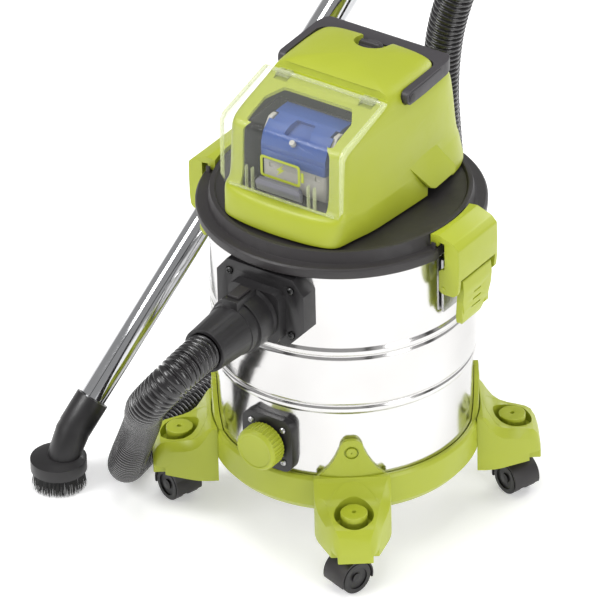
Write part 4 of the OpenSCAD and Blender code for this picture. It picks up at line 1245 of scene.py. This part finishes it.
def latch_hood():
    """The right-hand hook: a hood with a hollow lip, and its two notched cheeks."""
    hood = prism("hood", filleted(HOOD_LINE, [2, 4, 6, 5, 20, 1, 1, 4, 3, 1, 1, 1]), -37.8, 37.8, axis="Y")
    cut(hood, rod("lid ring", 147.2, 380, 420, segments=180))
    cheek = filleted(CHEEK_LINE, [1, 5, 5, 10, 6, 8, 5, 4, 4, 3, 2])
    joined(hood, *(prism("cheek", cheek, *span, axis="Y") for span in ((-38, -33.4), (33.4, 38))))
    softened(hood, 0.9, angle=34)
    pins = [rod("pin end", 2.5, *span, (158, 340), "Y", 0.3, 24) for span in ((-38.6, -37), (37, 38.6))]
    return merged("hood", [hood, *pins])


def latch_pad():
    """The right-hand lever: a bowed pad with three finger grooves, on two side plates."""
    pad = prism("pad", filleted(PAD_LINE, [1, 2, 24, 24, 10, 3, 2, 6, 10], 6), -30, 30, axis="Y")
    face = filleted([(-27.4, 352), (27.4, 352), (27.4, 322), (18, 289), (11, 282.6), (-11, 282.6), (-18, 289),
                     (-27.4, 322)], [1, 1, 12, 10, 6, 6, 10, 12], 6)
    kept(pad, prism("face", face, 150, 190, axis="X"))
    plates = [prism("plate", filleted(LEVER_LINE, [2, 1.5, 3, 5, 1, 1, 2, 2, 3, 3, 2]), *span, axis="Y")
              for span in ((-26, -20.4), (20.4, 26))]
    joined(pad, *plates)
    slots = []
    for z, half, depth in ((327, 6.8, 176.6), (317.5, 7.8, 175.4), (308, 8.7, 174.0)):
        slots.append(prism("groove", filleted(rect(-half, z - 1.2, half, z + 1.2), 1.1),
                           depth - 0.4, depth + 8, axis="X"))
    cut(pad, *slots)
    return softened(pad, 0.8, angle=34)


class VACUUM_OT_latches(bpy.types.Operator):
    """Mould the two over-centre latches"""

    bl_idname = "vacuum.latches"
    bl_label = "Latches"

    def execute(self, context):
        for word, side in SIDES.items():
            for make, body in ((latch_hood, "hook"), (latch_pad, "lever")):
                piece = on_side(make(), side)
                piece.name = f"latch_{body}_{word}_moulding"
                shown(piece, "lime_plastic", f"{body}_{word}", [f"latch_{body}_{word}"], smooth=38)
        return {"FINISHED"}


# ---------------------------------------------------------------- brush


class VACUUM_OT_bristles(bpy.types.Operator):
    """Set the round brush with rings of splayed bristles"""

    bl_idname = "vacuum.bristles"
    bl_label = "Bristles"

    def execute(self, context):
        tuft = solid("tuft", [(0.42 * math.cos(a) * r, 0.42 * math.sin(a) * r, z)
                              for r, z in ((1.0, 0.0), (0.9, -11.0), (0.45, -21.6))
                              for a in (math.tau * k / 5 for k in range(5))],
                     [(5 * i + k, 5 * i + (k + 1) % 5, 5 * i + 5 + (k + 1) % 5, 5 * i + 5 + k)
                      for i in (0, 1) for k in range(5)] + [(4, 3, 2, 1, 0), (10, 11, 12, 13, 14)])
        outward(tuft)
        grow = Grower("bristle rings", middle_x=-0.280, middle_y=-0.165, splay=0.10)
        size = grow.inputs
        place = grow.node("GeometryNodeInputPosition")
        middle = grow.node("ShaderNodeCombineXYZ", values={"X": size["middle_x"], "Y": size["middle_y"]})
        away = grow.node("ShaderNodeVectorMath", {"operation": "SUBTRACT"}, {0: place, 1: middle})
        flat = grow.node("ShaderNodeVectorMath", {"operation": "MULTIPLY"}, {0: away, 1: (1.0, 1.0, 0.0)})
        out = grow.node("ShaderNodeVectorMath", {"operation": "NORMALIZE"}, {0: flat})
        lean = grow.node("ShaderNodeVectorMath", {"operation": "SCALE"}, {0: out, "Scale": size["splay"]})
        stray = grow.node("FunctionNodeRandomValue", {"data_type": "FLOAT_VECTOR"},
                          {0: (-0.07, -0.07, 0.0), 1: (0.07, 0.07, 0.0)}, out=0)
        down = grow.node("ShaderNodeVectorMath", {"operation": "SUBTRACT"}, {0: (0.0, 0.0, 1.0), 1: lean})
        way = grow.node("ShaderNodeVectorMath", {"operation": "ADD"}, {0: down, 1: stray})
        turned = grow.node("FunctionNodeAlignRotationToVector", {"axis": "Z"}, {"Vector": way})
        shape = grow.node("GeometryNodeObjectInfo", {"transform_space": "ORIGINAL"}, {"Object": tuft}, out=4)
        spots = grow.node("GeometryNodeInstanceOnPoints", values={
            "Points": grow.start, "Instance": shape, "Rotation": turned})
        roots = []
        for radius, count in ((21.0, 84), (22.7, 92), (24.4, 100), (26.1, 106), (27.6, 112)):
            for k in range(count):
                a = math.tau * (k + 0.37 * radius) / count
                roots.append((-280 + radius * math.cos(a), -165 + radius * math.sin(a), 22.2))
        brush = grow.grown(solid("bristle_rings", roots, []), spots, "bristle")
        bpy.data.objects.remove(tuft)
        shown(brush, "bristle", "wand_lower", ["brush_bristles"], smooth=60)
        return {"FINISHED"}


# ---------------------------------------------------------------- pieces that keep their moulded CAD shape

PLAIN_NODES = {
    0.8: ("inlet_flange", "drain_flange", "hose_cuff", "cuff_lock_button", "relief_slider", "wand_lock",
          "wand_grip",
          "brush_body", "battery_bay", "fan_housing", "filter_cage", *("caster_" + c for c in CORNERS),
          *("wheels_" + c for c in CORNERS), "lid"),
    0.25: ("door_hinge_pin", "latch_pins", "latch_bracket_right", "latch_bracket_left", "gauge_button",
           "circuit_board", "motor_can", "rotor", "impeller", "float_ball", "drain_seal", "rim_seal",
           "motor_bearings", "filter_sleeve", "wand_outer", "wand_inner"),
}


class VACUUM_OT_mouldings(bpy.types.Operator):
    """Round the edges of the mouldings and small metal parts that keep their CAD shape"""

    bl_idname = "vacuum.mouldings"
    bl_label = "Mouldings"

    def execute(self, context):
        for edge, nodes in PLAIN_NODES.items():
            for node in nodes:
                finished_node(node, edge)
        return {"FINISHED"}


# ---------------------------------------------------------------- panel and main

OPERATORS = (
    VACUUM_OT_view, VACUUM_OT_hose, VACUUM_OT_stage, VACUUM_OT_head, VACUUM_OT_door, VACUUM_OT_battery,
    VACUUM_OT_handle, VACUUM_OT_drum, VACUUM_OT_base, VACUUM_OT_legs, VACUUM_OT_screws, VACUUM_OT_drain,
    VACUUM_OT_latches, VACUUM_OT_bristles, VACUUM_OT_mouldings)


class VACUUM_PT_panel(bpy.types.Panel):
    """Lists the pieces of the vacuum"""

    bl_label = "Shop Vacuum"
    bl_idname = "VACUUM_PT_panel"
    bl_space_type = "VIEW_3D"
    bl_region_type = "UI"
    bl_category = "Shop Vacuum"

    def draw(self, context):
        for group in (context.scene.vacuum_sizes, context.scene.vacuum_colours):
            for key in group.__annotations__:
                self.layout.prop(group, key)
        for operator in OPERATORS:
            self.layout.operator(operator.bl_idname)


CLASSES = (VacuumSizes, VacuumColours, *OPERATORS, VACUUM_PT_panel)


def register():
    for entry in CLASSES:
        bpy.utils.register_class(entry)
    bpy.types.Scene.vacuum_sizes = PointerProperty(type=VacuumSizes)
    bpy.types.Scene.vacuum_colours = PointerProperty(type=VacuumColours)


def unregister():
    del bpy.types.Scene.vacuum_sizes, bpy.types.Scene.vacuum_colours
    for entry in reversed(CLASSES):
        bpy.utils.unregister_class(entry)


def main():
    register()
    for operator in OPERATORS:
        getattr(bpy.ops.vacuum, operator.bl_idname.split(".")[1])()


if __name__ == "__main__":
    main()
